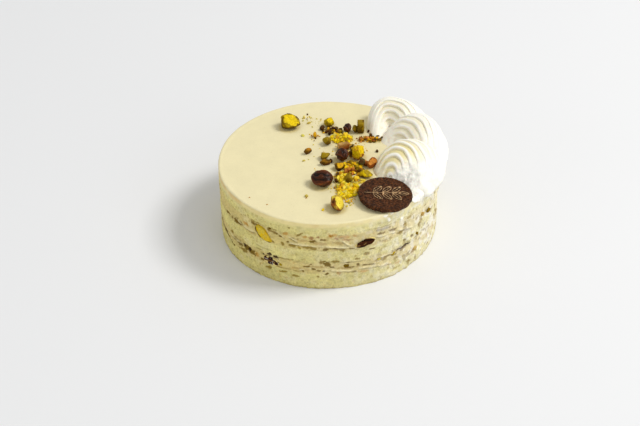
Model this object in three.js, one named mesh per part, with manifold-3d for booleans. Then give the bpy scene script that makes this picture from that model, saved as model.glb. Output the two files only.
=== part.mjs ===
// A round layered pistachio cake, resting on its flat underside.
// Units are millimetres, +Z is up, the cake's centre line is the Z axis and its underside is z = 0.
// Seen along +Y, three piped cream swirls stand on the right, a chocolate disc lies in front of
// them, and nuts and raisins are scattered over the middle of the top.
import * as THREE from 'three';
import { ConvexGeometry } from 'three/addons/geometries/ConvexGeometry.js';
import { mergeVertices } from 'three/addons/utils/BufferGeometryUtils.js';
import Module from 'manifold-3d';

const wasm = await Module();
wasm.setup();

// ---------------------------------------------------------------- driving dimensions
const CAKE_RADIUS = 78;
const CAKE_HEIGHT = 55.5;
const GAP = 0.3; // left between pieces that touch
const AROUND = 64; // facets round the cake

// Each layer: height of its upper face, how far its side stands out from the cake's radius,
// how much its upper face waves up and down at the side, and its colour.
const LAYERS = [
  { name: 'sponge_bottom', top: 13, out: 0.4, wave: 0.7, color: 0xc9b87c },
  { name: 'filling_lower', top: 22.5, out: -0.3, wave: 0.8, color: 0xcdc296 },
  { name: 'sponge_middle', top: 33, out: 0, wave: 0.9, color: 0xd6c78c },
  { name: 'filling_upper', top: 45, out: -0.4, wave: 0.8, color: 0xd3c79c },
  { name: 'sponge_top', top: 49.5, out: 0, wave: 0.5, color: 0xd5c48c },
  { name: 'top_cream', top: CAKE_HEIGHT, out: 0, wave: 0, color: 0xecdfb5 },
];
const CREAM_EDGE = 1.1; // rounding of the top cream's upper edge

// Pieces that show in the cut side: where their middle is (angle round the cake in degrees,
// height), their length along the side, height, depth into the cake, and slope in degrees.
const SIDE_PIECES = [
  { name: 'pistachio_side', angle: -124.7, z: 37.9, size: [16.5, 8, 11], slope: -27, kind: 'pistachio' },
  { name: 'raisin_side_upper', angle: -71.5, z: 36.4, size: [15.5, 6, 9], slope: 14, kind: 'raisin' },
  { name: 'raisin_side_lower', angle: -120.8, z: 17.2, size: [13.5, 6.8, 10], slope: -8, kind: 'raisin' },
];

// Whole and broken nuts and raisins on the top: place of the middle, length, width and height,
// turn about the vertical and lean about the length, in degrees.
const TOPPINGS = [
  { name: 'pistachio_back', kind: 'kernel', at: [-27.2, 42.8], size: [16, 12.5, 10.5], turn: -22, lean: 12 },
  { name: 'pistachio_centre', kind: 'kernel', at: [22, 0.7], size: [12.5, 9.4, 10.5], turn: 72, lean: 20 },
  { name: 'pistachio_front', kind: 'kernel', at: [6.1, -60.2], size: [14.5, 9.6, 10], turn: 68, lean: -25 },
  { name: 'nut_right', kind: 'kernel', at: [31, -10.3], size: [9.2, 6.8, 7.5], turn: 62, lean: 10 },
  { name: 'raisin_left', kind: 'raisin', at: [-4.1, -31.8], size: [15.8, 12.4, 9.8], turn: -24, lean: 14 },
  { name: 'raisin_centre', kind: 'raisin', at: [10.2, -2.5], size: [10.5, 8.4, 8.8], turn: -70, lean: 25 },
  { name: 'raisin_back', kind: 'chunk', at: [14.7, 34.6], size: [5.6, 7.5, 6.5], turn: 30, lean: 20 },
  { name: 'chunk_upright', kind: 'slab', at: [24.5, 34.5], size: [5.2, 6.5, 10], turn: -6, lean: 8 },
  { name: 'chunk_back', kind: 'kernel', at: [1.8, 43.7], size: [8.4, 7.4, 6.6], turn: 30, lean: 15 },
  { name: 'chunk_pale', kind: 'slab', at: [11.2, 12], size: [8.6, 6.2, 4.8], turn: 15, lean: -10 },
  { name: 'chunk_yellow', kind: 'slab', at: [8.4, -13.1], size: [8.2, 6, 5], turn: 8, lean: 10 },
  { name: 'chunk_dark', kind: 'chunk', at: [24.2, -8.8], size: [6.2, 5.4, 5], turn: 20, lean: 0 },
  { name: 'chunk_long', kind: 'kernel', at: [26.3, -23.3], size: [10.4, 6, 5.6], turn: -18, lean: 20 },
];
const TOPPING_COLORS = { kernel: 0xb9a12e, slab: 0x8f8a34, chunk: 0x6b4a2c, raisin: 0x3f2519 };

// Chopped bits fused to the top cream: middle, then length, width and height.
const BITS = [
  { at: [-3.6, 38.7], size: [5, 4.2, 4] },
  { at: [-0.9, 18.4], size: [5.8, 7, 6] },
  { at: [-9.2, 29.6], size: [5, 4, 3.2] },
  { at: [-14.2, 6.9], size: [6.4, 5.6, 5] },
  { at: [-2.2, 1.8], size: [6.2, 5, 4.2] },
  { at: [-1.5, -7.1], size: [6.2, 4.6, 4.2] },
  { at: [14.2, -31.8], size: [3.6, 6.2, 5] },
  { at: [14, -46.7], size: [4, 3.2, 2.6] },
  { at: [24.6, 25], size: [5, 4.4, 3.4] },
  { at: [30, 24.2], size: [5, 4.4, 3.6] },
];
// Scattered crumbs: an oval patch, how many, and the range of their sizes.
const CRUMB_PATCHES = [
  { at: [9.5, 24], reach: [9, 6], count: 9, from: 2.4, to: 4.2 },
  { at: [13, -31], reach: [9, 12], count: 16, from: 2, to: 4 },
  { at: [8, -18], reach: [12, 8], count: 6, from: 2, to: 3.4 },
  { at: [-14, 47], reach: [8, 7], count: 5, from: 1.4, to: 2.2 },
  { at: [5, 8], reach: [20, 34], count: 12, from: 1.6, to: 2.8 },
];
const CRUMB_FIELD = { right: 29, back: 58 }; // crumbs stay left of the swirls and off the back edge

// The chocolate disc: its middle, its size, its tilts in degrees and the rounding of its edge.
const DISC = { at: [38.7, -49.4], radius: 18.6, thickness: 3, roll: 4, pitch: 1.5, edge: 0.8 };
// The sprig on the disc: pairs of leaves, a leaf's length and width, height of the relief, stem length.
const SPRIG = { leaves: 3, leaf: [5.6, 2.1], relief: 0.45, stem: 15 };

// Each swirl is swept by ribs that spring from a left foot line, arch over a crown line and come
// down on a right foot line. All three lines are curves with four control points, given from the
// top of the cake, and meet at the swirl's eye in front. Shoulder and roundness are the powers that
// shape a rib's arch across and upward: below 1 it is fuller.
const RIBS = 10;
const RIB_RELIEF = 1.05;
const SWIRLS = [
  {
    name: 'swirl_back',
    left: [[48, 36, 0], [32, 2, 0], [21.5, 51, 0], [36, 56, 0]],
    crown: [[48, 36, 0], [43.5, 37, 15.5], [56, 61.5, 34], [58.5, 46, 0]],
    right: [[48, 36, 0], [56.5, -18.5, 0], [75.5, 25.5, -1], [79, 32.5, -2]],
    shoulder: 0.85,
    roundness: 0.79,
  },
  {
    name: 'swirl_middle',
    left: [[53.5, 9.5, 0], [19.5, 24, 0], [53, 34, 0], [64.5, 44, 0]],
    crown: [[53.5, 9.5, 0], [52.5, 21.5, 17.5], [80.5, 25.5, 32], [81, 25, 0]],
    right: [[53.5, 9.5, 0], [50, -20, 0], [78.5, -20.5, -1], [83, -2, -2]],
    shoulder: 1.05,
    roundness: 0.87,
  },
  {
    name: 'swirl_front',
    left: [[43, -31, 0], [30.5, -25, 0], [14.5, 1.5, 0], [84.5, 5.5, 0]],
    crown: [[43, -31, 0], [45, -14, 19.5], [64.5, 3.5, 24.5], [84, -6, 0]],
    right: [[43, -31, 0], [46, -34, 0], [69, -67.5, -1], [81.5, -19, -2]],
    shoulder: 1.05,
    roundness: 0.79,
  },
];
const CREAM_HANG = 3; // how far the swirls hang down past the cake's top edge
// The smear: angle round the cake, distance out, drop below the cake's top and half sizes.
const SMEAR = { angle: -36, at: 73.6, drop: 2.6, half: [7.2, 8.4, 5.4] };

// ---------------------------------------------------------------- helpers
// A seeded stream of numbers from 0 to 1.
function stream(seed) {
  let state = seed;
  return () => {
    state = (state + 0x6d2b79f5) | 0;
    let t = Math.imul(state ^ (state >>> 15), 1 | state);
    t = (t + Math.imul(t ^ (t >>> 7), 61 | t)) ^ t;
    return ((t ^ (t >>> 14)) >>> 0) / 4294967296;
  };
}

const radians = THREE.MathUtils.degToRad;

// A closed geometry as a solid, with shared vertices merged and collapsed triangles dropped.
function solidOf(geometry) {
  const bare = geometry.clone();
  bare.deleteAttribute('normal');
  bare.deleteAttribute('uv');
  const merged = mergeVertices(bare, 1e-4);
  const index = merged.index.array;
  const kept = [];
  for (let i = 0; i < index.length; i += 3) {
    const [a, b, c] = [index[i], index[i + 1], index[i + 2]];
    if (a !== b && b !== c && c !== a) {
      kept.push(a, b, c);
    }
  }
  return new wasm.Manifold(new wasm.Mesh({
    numProp: 3,
    vertProperties: new Float32Array(merged.attributes.position.array),
    triVerts: new Uint32Array(kept),
  }));
}

function geometryOf(solid) {
  const mesh = solid.getMesh();
  const geometry = new THREE.BufferGeometry();
  geometry.setAttribute('position', new THREE.BufferAttribute(mesh.vertProperties, 3));
  geometry.setIndex(new THREE.BufferAttribute(mesh.triVerts, 1));
  return geometry;
}

// The largest piece of a solid, so that a cut leaves no loose scrap.
function largest(solid) {
  return solid.decompose().reduce((best, piece) => (piece.volume() > best.volume() ? piece : best));
}

function geometryFrom(points, triangles) {
  const geometry = new THREE.BufferGeometry();
  geometry.setAttribute('position', new THREE.Float32BufferAttribute(points.flat(), 3));
  geometry.setIndex(triangles);
  return geometry;
}

// A body of turned form whose rows of [radius, height] may change with the angle. The rows run
// from the underside's edge to the upper edge, and a middle point closes each end.
function turned(rowsAt, around) {
  const points = [];
  const triangles = [];
  const rowCount = rowsAt(0).length;
  let low = 0;
  let high = 0;
  for (let i = 0; i < around; i += 1) {
    const angle = (2 * Math.PI * i) / around;
    const rows = rowsAt(angle);
    rows.forEach(([radius, z]) => points.push([radius * Math.cos(angle), radius * Math.sin(angle), z]));
    low += rows[0][1] / around;
    high += rows[rowCount - 1][1] / around;
  }
  const bottom = points.push([0, 0, low]) - 1;
  const top = points.push([0, 0, high]) - 1;
  for (let i = 0; i < around; i += 1) {
    const here = i * rowCount;
    const next = ((i + 1) % around) * rowCount;
    for (let row = 0; row < rowCount - 1; row += 1) {
      triangles.push(here + row, next + row, next + row + 1, here + row, next + row + 1, here + row + 1);
    }
    triangles.push(bottom, next, here);
    triangles.push(top, here + rowCount - 1, next + rowCount - 1);
  }
  return geometryFrom(points, triangles);
}

// ---------------------------------------------------------------- layers
const wobble = (angle, k) => (
  Math.sin(3 * angle + 1.7 * k) + 0.7 * Math.sin(5 * angle + 2.3 * k) + 0.5 * Math.sin(11 * angle + k)
) / 2.2;

const faceHeight = (k, angle) => LAYERS[k].top + LAYERS[k].wave * wobble(angle, k);

const sideRadius = (k, angle) => (
  CAKE_RADIUS + LAYERS[k].out + 0.25 * Math.sin(3 * angle + 1) + 0.2 * Math.sin(7 * angle + 2)
);

function layerSolid(k) {
  const isTop = k === LAYERS.length - 1;
  return solidOf(turned((angle) => {
    const low = k === 0 ? 0 : faceHeight(k - 1, angle) + GAP;
    const high = faceHeight(k, angle);
    const radius = sideRadius(k, angle);
    const bulge = 0.25 * Math.sin(9 * angle + 4 * k);
    const rows = [[radius, low], [radius + bulge, (low + high) / 2]];
    if (!isTop) {
      return [...rows, [radius, high]];
    }
    return [...rows, [radius, high - CREAM_EDGE], [radius - 0.3 * CREAM_EDGE, high - 0.3 * CREAM_EDGE],
      [radius - CREAM_EDGE, high]];
  }, AROUND));
}

// ---------------------------------------------------------------- nuts, raisins and chunks
// Pieces shorter than this have fewer facets.
const SMALL = 11;

// An egg-shaped kernel with a shallow seam along its length.
function kernel([length, width, height], seed) {
  const [round, along] = length > SMALL ? [14, 9] : [10, 7];
  const geometry = new THREE.SphereGeometry(1, round, along).rotateZ(Math.PI / 2);
  const position = geometry.attributes.position;
  for (let i = 0; i < position.count; i += 1) {
    const x = position.getX(i);
    const y = position.getY(i);
    const z = position.getZ(i);
    const about = Math.atan2(z, y);
    const swell = 1 + 0.05 * Math.sin(3 * x + seed) * Math.cos(2 * about + seed) - 0.14 * x;
    const seam = 1 - 0.07 * Math.exp(-(((about - 0.4) / 0.25) ** 2));
    position.setXYZ(i, (length / 2) * x, (width / 2) * y * swell * seam, (height / 2) * z * swell * seam);
  }
  return geometry;
}

// A dried fruit: an egg form with folds that run along its length.
function raisin([length, width, height], seed) {
  const geometry = new THREE.SphereGeometry(1, 15, 9).rotateZ(Math.PI / 2);
  const position = geometry.attributes.position;
  for (let i = 0; i < position.count; i += 1) {
    const x = position.getX(i);
    const y = position.getY(i);
    const z = position.getZ(i);
    const about = Math.atan2(z, y);
    const fold = 1 + 0.1 * Math.cos(5 * about + 1.2 * Math.sin(2.5 * x + seed)) - 0.05 * x;
    position.setXYZ(i, (length / 2) * x, (width / 2) * y * fold, (height / 2) * z * fold);
  }
  return geometry;
}

// A broken piece with flat faces, from a seeded draw of corners on an oval.
function chunk([length, width, height], seed, corners = 14) {
  const draw = stream(seed);
  const points = [];
  for (let i = 0; i < corners; i += 1) {
    const level = -1 + (2 * (i + 0.5)) / corners;
    const about = i * 2.4 + draw();
    const ring = Math.sqrt(1 - level * level) * (0.85 + 0.3 * draw());
    points.push(new THREE.Vector3(
      (length / 2) * Math.cos(about) * ring,
      (width / 2) * Math.sin(about) * ring,
      (height / 2) * level,
    ));
  }
  return new ConvexGeometry(points);
}

// A broken piece shaped like a block with uneven corners.
function slab([length, width, height], seed) {
  const draw = stream(seed);
  const points = [];
  [-1, 1].forEach((x) => [-1, 1].forEach((y) => [-1, 1].forEach((z) => {
    points.push(new THREE.Vector3(
      (length / 2) * x * (0.82 + 0.18 * draw()),
      (width / 2) * y * (0.82 + 0.18 * draw()),
      (height / 2) * z * (0.85 + 0.15 * draw()),
    ));
  })));
  return new ConvexGeometry(points);
}

const MAKERS = { kernel, raisin, chunk, slab };

// Turns a piece, then sets it down with its lowest point at a height.
function setDown(geometry, [x, y], turn, lean, z) {
  geometry.rotateX(radians(lean));
  geometry.rotateZ(radians(turn));
  geometry.computeBoundingBox();
  geometry.translate(x, y, z - geometry.boundingBox.min.z);
  return geometry;
}

// grow widens the piece all round, to make the cutter that frees its neighbours.
function toppingSolid(topping, index, grow = 0) {
  const size = topping.size.map((value) => value + 2 * grow);
  const geometry = MAKERS[topping.kind](size, index + 1);
  return solidOf(setDown(geometry, topping.at, topping.turn, topping.lean, CAKE_HEIGHT + GAP - grow));
}

// Freely placed crumbs keep clear of the larger toppings, the disc and the swirls.
function crumbIsClear(x, y, half) {
  const clearOfToppings = TOPPINGS.every(({ at, size }) => (
    Math.hypot(x - at[0], y - at[1]) > Math.max(size[0], size[1]) / 2 + half + GAP
  ));
  const clearOfDisc = Math.hypot(x - DISC.at[0], y - DISC.at[1]) > DISC.radius + half + 1;
  return clearOfToppings && clearOfDisc && x < CRUMB_FIELD.right - half && y < CRUMB_FIELD.back;
}

function bitSolids() {
  const solids = [];
  const sink = 0.6;
  BITS.forEach((bit, index) => {
    const piece = chunk(bit.size, 40 + index, 11);
    solids.push(solidOf(setDown(piece, bit.at, 50 * index, 0, CAKE_HEIGHT - sink)));
  });
  CRUMB_PATCHES.forEach((patch, patchIndex) => {
    const draw = stream(900 + patchIndex);
    let made = 0;
    for (let attempt = 0; attempt < 12 * patch.count && made < patch.count; attempt += 1) {
      const about = 2 * Math.PI * draw();
      const out = Math.sqrt(draw());
      const x = patch.at[0] + patch.reach[0] * out * Math.cos(about);
      const y = patch.at[1] + patch.reach[1] * out * Math.sin(about);
      const size = patch.from + (patch.to - patch.from) * draw() ** 2;
      if (crumbIsClear(x, y, size / 2)) {
        const piece = chunk([size, 0.75 * size, 0.7 * size + 0.5], 1000 + 50 * patchIndex + attempt, 8);
        solids.push(solidOf(setDown(piece, [x, y], 360 * draw(), 0, CAKE_HEIGHT - 0.5)));
        made += 1;
      }
    }
  });
  return solids;
}

// ---------------------------------------------------------------- pieces in the side
function sidePieceSolid(piece, grow = 0) {
  const [length, height, depth] = piece.size.map((value) => value + 2 * grow);
  const maker = piece.kind === 'raisin' ? raisin : kernel;
  const geometry = maker([length, depth, height], 3);
  const placing = new THREE.Matrix4()
    .makeRotationZ(radians(piece.angle + 90))
    .multiply(new THREE.Matrix4().makeRotationY(-radians(piece.slope)));
  geometry.applyMatrix4(placing);
  const middle = CAKE_RADIUS - 1.5;
  const angle = radians(piece.angle);
  geometry.translate(middle * Math.cos(angle), middle * Math.sin(angle), piece.z);
  return solidOf(geometry);
}

function cylinderSolid(radius, low, high, topRadius = radius) {
  const geometry = new THREE.CylinderGeometry(topRadius, radius, high - low, AROUND);
  return solidOf(geometry.rotateX(Math.PI / 2).translate(0, 0, (low + high) / 2));
}

// ---------------------------------------------------------------- chocolate disc
// A thick disc with a rounded, slightly scalloped edge and a sprig of leaves in low relief.
function discSolid() {
  const { radius, thickness, edge } = DISC;
  const plate = solidOf(turned((angle) => {
    const front = Math.max(0, -Math.sin(angle));
    const ripple = 0.12 * Math.sin(5 * angle + 1) + 0.28 * front * Math.sin(13 * angle);
    return [[radius - 0.9 + ripple, 0], [radius + 0.8 * ripple, edge],
      [radius + 0.5 * ripple, thickness - edge], [radius - edge, thickness]];
  }, 52));
  const raised = [];
  const leafAt = (along, side, turn) => {
    const leaf = new THREE.SphereGeometry(1, 8, 6).scale(SPRIG.leaf[0] / 2, SPRIG.leaf[1] / 2, SPRIG.relief);
    leaf.rotateZ(radians(turn)).translate(along, side, thickness);
    raised.push(solidOf(leaf));
  };
  for (let pair = 0; pair < SPRIG.leaves; pair += 1) {
    const along = -3.6 + 3.6 * pair;
    leafAt(along, 2.3, 42);
    leafAt(along, -2.3, -42);
  }
  leafAt(8.2, 0, 0);
  const stem = new THREE.BoxGeometry(SPRIG.stem, 0.7, 2 * SPRIG.relief).translate(-0.8, 0, thickness);
  raised.push(solidOf(stem));
  const joined = raised.reduce((sum, solid) => sum.add(solid), plate);
  const placing = new THREE.Matrix4()
    .makeRotationY(radians(DISC.roll))
    .multiply(new THREE.Matrix4().makeRotationX(radians(DISC.pitch)));
  const geometry = geometryOf(joined).applyMatrix4(placing);
  geometry.computeBoundingBox();
  geometry.translate(DISC.at[0], DISC.at[1], CAKE_HEIGHT + GAP - geometry.boundingBox.min.z);
  return geometry;
}

// ---------------------------------------------------------------- piped swirls
const curveOf = (points) => new THREE.CubicBezierCurve3(...points.map((p) => new THREE.Vector3(...p)));

const softPower = (value, power) => Math.sign(value) * Math.abs(value) ** power;

// The smooth surface of a swirl: s runs from the eye over the ribs, t from left to right foot.
function swirlPoint(swirl, s, t) {
  const left = curveOf(swirl.left).getPoint(s);
  const crown = curveOf(swirl.crown).getPoint(s);
  const right = curveOf(swirl.right).getPoint(s);
  const middle = left.clone().add(right).multiplyScalar(0.5);
  const half = right.clone().sub(left).multiplyScalar(0.5);
  const rise = crown.clone().sub(middle);
  return middle
    .addScaledVector(half, -softPower(Math.cos(Math.PI * t), swirl.shoulder))
    .addScaledVector(rise, Math.sin(Math.PI * t) ** swirl.roundness);
}

function swirlNormal(swirl, s, t) {
  const step = 0.01;
  const [s0, s1] = [Math.max(s - step, 0.005), Math.min(s + step, 1)];
  const [t0, t1] = [Math.max(t - step, 0), Math.min(t + step, 1)];
  const alongS = swirlPoint(swirl, s1, t).sub(swirlPoint(swirl, s0, t));
  const alongT = swirlPoint(swirl, s, t1).sub(swirlPoint(swirl, s, t0));
  return alongT.cross(alongS).normalize();
}

// The ribbed swirl as a closed body down to a flat underside below the cake's top edge.
function swirlSolid(swirl, grow = 0) {
  const alongSteps = 4 * RIBS;
  const acrossSteps = 16;
  const points = [];
  const triangles = [];
  const add = (v, z) => points.push([v.x, v.y, z]) - 1;
  const low = CAKE_HEIGHT - CREAM_HANG - grow;
  const surface = [];
  const floor = [];
  for (let i = 0; i <= alongSteps; i += 1) {
    const s = i / alongSteps;
    const fade = Math.min(1, 5 * s, 4 * (1 - s));
    const row = [];
    for (let j = 0; j <= acrossSteps; j += 1) {
      const t = j / acrossSteps;
      const arch = Math.sin(Math.PI * t) ** 0.5;
      const lift = RIB_RELIEF * fade * arch * Math.cos(2 * Math.PI * RIBS * s) + grow;
      const point = swirlPoint(swirl, s, t);
      if (i > 0) {
        point.addScaledVector(swirlNormal(swirl, s, t), lift);
      }
      row.push(add(point, CAKE_HEIGHT + point.z));
    }
    surface.push(row);
    floor.push([row[0], row[acrossSteps]].map((corner) => {
      const [x, y] = points[corner];
      return points.push([x, y, low]) - 1;
    }));
  }
  for (let i = 0; i < alongSteps; i += 1) {
    for (let j = 0; j < acrossSteps; j += 1) {
      const [a, b, c, d] = [surface[i][j], surface[i][j + 1], surface[i + 1][j + 1], surface[i + 1][j]];
      triangles.push(a, b, c, a, c, d);
    }
    const [leftHere, rightHere] = floor[i];
    const [leftNext, rightNext] = floor[i + 1];
    triangles.push(leftHere, leftNext, rightNext, leftHere, rightNext, rightHere);
    triangles.push(surface[i][0], surface[i + 1][0], leftNext, surface[i][0], leftNext, leftHere);
    triangles.push(surface[i + 1][acrossSteps], surface[i][acrossSteps], rightHere);
    triangles.push(surface[i + 1][acrossSteps], rightHere, rightNext);
  }
  const last = surface[alongSteps];
  const [leftEnd, rightEnd] = floor[alongSteps];
  for (let j = 0; j < acrossSteps; j += 1) {
    triangles.push(last[j + 1], leftEnd, last[j]);
  }
  triangles.push(last[acrossSteps], rightEnd, leftEnd);
  return solidOf(geometryFrom(points, triangles));
}

// The room that a swirl needs: a wider swirl, and the swirl itself moved a gap each way, which
// also clears the two ends of its ribs.
function swirlClearance(swirl) {
  const solid = swirlSolid(swirl);
  const shifts = [[GAP, 0, 0], [-GAP, 0, 0], [0, GAP, 0], [0, -GAP, 0]];
  return shifts.reduce((sum, shift) => sum.add(solid.translate(shift)), swirlSolid(swirl, GAP + 0.1));
}

// The smear of cream that hangs over the cake's edge beside the disc.
function smearSolid() {
  const blob = new THREE.SphereGeometry(1, 16, 10).rotateX(Math.PI / 2)
    .scale(...SMEAR.half)
    .translate(SMEAR.at, 0, CAKE_HEIGHT - SMEAR.drop)
    .rotateZ(radians(SMEAR.angle));
  return solidOf(blob);
}

// ---------------------------------------------------------------- the cake
const cake = new THREE.Group();

function place(name, geometry, color, roughness) {
  const mesh = new THREE.Mesh(geometry, new THREE.MeshStandardMaterial({ color, roughness, metalness: 0 }));
  mesh.name = name;
  cake.add(mesh);
}

LAYERS.forEach((layer, k) => {
  let solid = layerSolid(k);
  SIDE_PIECES.forEach((piece) => {
    solid = solid.subtract(sidePieceSolid(piece, GAP));
  });
  if (layer.name === 'top_cream') {
    solid = bitSolids().reduce((sum, bit) => sum.add(bit), solid);
  }
  place(layer.name, geometryOf(largest(solid)), layer.color, 0.8);
});

SIDE_PIECES.forEach((piece) => {
  const trimmed = sidePieceSolid(piece).intersect(cylinderSolid(CAKE_RADIUS + 0.3, 0, CAKE_HEIGHT));
  const color = piece.kind === 'raisin' ? TOPPING_COLORS.raisin : TOPPING_COLORS.kernel;
  place(piece.name, geometryOf(trimmed), color, 0.5);
});

const cakeClearance = cylinderSolid(CAKE_RADIUS + 1, 0, CAKE_HEIGHT + GAP);
const discClearance = cylinderSolid(DISC.radius + 0.7, CAKE_HEIGHT - 8, CAKE_HEIGHT + 30)
  .translate([DISC.at[0], DISC.at[1], 0]);

SWIRLS.forEach((swirl, index) => {
  let solid = swirlSolid(swirl);
  if (swirl.name === 'swirl_front') {
    solid = solid.add(smearSolid());
  }
  solid = solid.subtract(cakeClearance).subtract(discClearance);
  SWIRLS.slice(index + 1).forEach((later) => {
    solid = solid.subtract(swirlClearance(later));
  });
  TOPPINGS.forEach((topping, k) => {
    solid = solid.subtract(toppingSolid(topping, k, GAP));
  });
  place(swirl.name, geometryOf(largest(solid)), 0xfdfbf2, 0.55);
});

place('chocolate_disc', discSolid(), 0x4a2e22, 0.5);

TOPPINGS.forEach((topping, index) => {
  place(topping.name, geometryOf(toppingSolid(topping, index)), TOPPING_COLORS[topping.kind], 0.5);
});

export default cake;
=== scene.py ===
"""A round layered pistachio cake: three sponges, two fillings and a smooth cream top, three piped
cream swirls, a chocolate disc with a leaf sprig, and nuts, raisins and crumbs.

Shapes are worked out in millimetres in the part's own frame, with the centre line on Z and the
underside at height 0, and are put into the meshes in metres.
"""

import math
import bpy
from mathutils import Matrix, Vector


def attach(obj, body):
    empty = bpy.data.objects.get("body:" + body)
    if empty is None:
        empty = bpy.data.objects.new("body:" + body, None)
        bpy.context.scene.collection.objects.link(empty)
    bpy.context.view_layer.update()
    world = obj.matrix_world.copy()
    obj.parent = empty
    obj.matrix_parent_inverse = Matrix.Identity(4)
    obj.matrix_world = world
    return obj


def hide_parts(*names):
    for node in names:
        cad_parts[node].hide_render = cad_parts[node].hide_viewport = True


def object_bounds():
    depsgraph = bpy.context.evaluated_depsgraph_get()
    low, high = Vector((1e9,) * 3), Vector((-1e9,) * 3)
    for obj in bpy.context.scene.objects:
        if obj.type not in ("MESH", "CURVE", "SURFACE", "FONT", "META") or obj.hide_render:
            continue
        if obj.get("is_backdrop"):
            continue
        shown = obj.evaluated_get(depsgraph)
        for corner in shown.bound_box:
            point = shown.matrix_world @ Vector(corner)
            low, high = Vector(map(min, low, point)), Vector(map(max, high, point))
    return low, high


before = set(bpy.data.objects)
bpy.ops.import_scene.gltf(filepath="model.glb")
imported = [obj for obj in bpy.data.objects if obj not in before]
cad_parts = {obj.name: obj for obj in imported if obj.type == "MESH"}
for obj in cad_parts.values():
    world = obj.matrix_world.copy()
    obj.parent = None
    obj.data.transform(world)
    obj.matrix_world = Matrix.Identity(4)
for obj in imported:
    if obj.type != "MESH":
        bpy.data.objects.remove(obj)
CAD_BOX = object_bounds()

from types import SimpleNamespace

import bpy
import numpy as np
from bpy.props import FloatProperty, FloatVectorProperty, IntProperty, PointerProperty
from mathutils import Matrix

bl_info = {
    "name": "Pistachio Cake",
    "version": (1, 0, 0),
    "blender": (4, 5, 0),
    "location": "3D View > Sidebar > Cake",
    "description": "Builds a layered pistachio cake round its solids",
    "category": "Object",
}

MM = 0.001
CAKE_RADIUS = 78.0
CAKE_HEIGHT = 55.5
# The back repeats the marks of the front at the angle's negative less this shift in degrees.
MIRROR_SHIFT = 7

# Name of each layer, height of its upper face, and how much that face waves at the side.
LAYERS = (
    ("sponge_bottom", 13.0, 0.7),
    ("filling_lower", 22.5, 0.8),
    ("sponge_middle", 33.0, 0.9),
    ("filling_upper", 45.0, 0.8),
    ("sponge_top", 49.5, 0.5),
    ("top_cream", 55.5, 0.0),
)
# Radius of the top cream's upper edge, and count of rows on its side, its edge and its top.
CREAM_EDGE = 1.1
CREAM_ROWS = (13, 7, 92)

# Smears of filling that stand out of the side: angle of the middle and half length in degrees,
# height, slope along the side, and how tall and how proud they are.
LIPS = (
    (-103, 8, 37.3, -0.04, 1.0, 1.2), (-87, 10, 36.1, -0.11, 1.0, 1.3), (-81, 3, 38.1, -1.08, 1.0, 1.0),
    (-108, 3, 41.1, -0.52, 1.0, 1.0), (-115, 3, 42.4, -0.5, 0.9, 0.7), (-102, 4, 16.3, 0.1, 0.9, 0.9),
    (-85, 8, 15.6, -0.15, 1.0, 1.1), (-66, 11, 14.2, -0.2, 1.0, 1.2), (-60, 7, 38.6, -0.2, 1.0, 0.9),
    (-47, 7, 35.7, -0.37, 1.0, 1.1), (-59, 7, 20.4, -0.07, 0.8, 0.6), (-78, 7, 22.8, -0.04, 0.9, 0.5),
    (-138, 10, 36.0, -0.05, 1.2, 0.6), (-124, 7, 27.1, 0.05, 1.4, 0.5), (-128, 9, 35.6, 0.05, 1.1, 0.5),
    (-150, 12, 18.4, 0.05, 1.2, 0.5), (-10, 12, 38.5, 0.05, 1.6, 1.0),
)

# Of each kind of blotch that is painted in one of the foods' colours: the colour and its cover.
BLOTCH_COLOURS = {
    "beige": ("beige", 0.65),
    "ochre": ("ochre", 0.65),
    "green": ("green", 0.85),
    "olive": ("seam", 0.85),
    "brown": ("olive", 0.96),
    "rust": ("rust", 0.68),
}
# Of each kind of blotch that lies in a hollow: its share of the hollow's depth.
HOLLOWS = {"dark": 0.8, "brown": 0.6, "olive": 0.45, "beige": 0.25}
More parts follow.
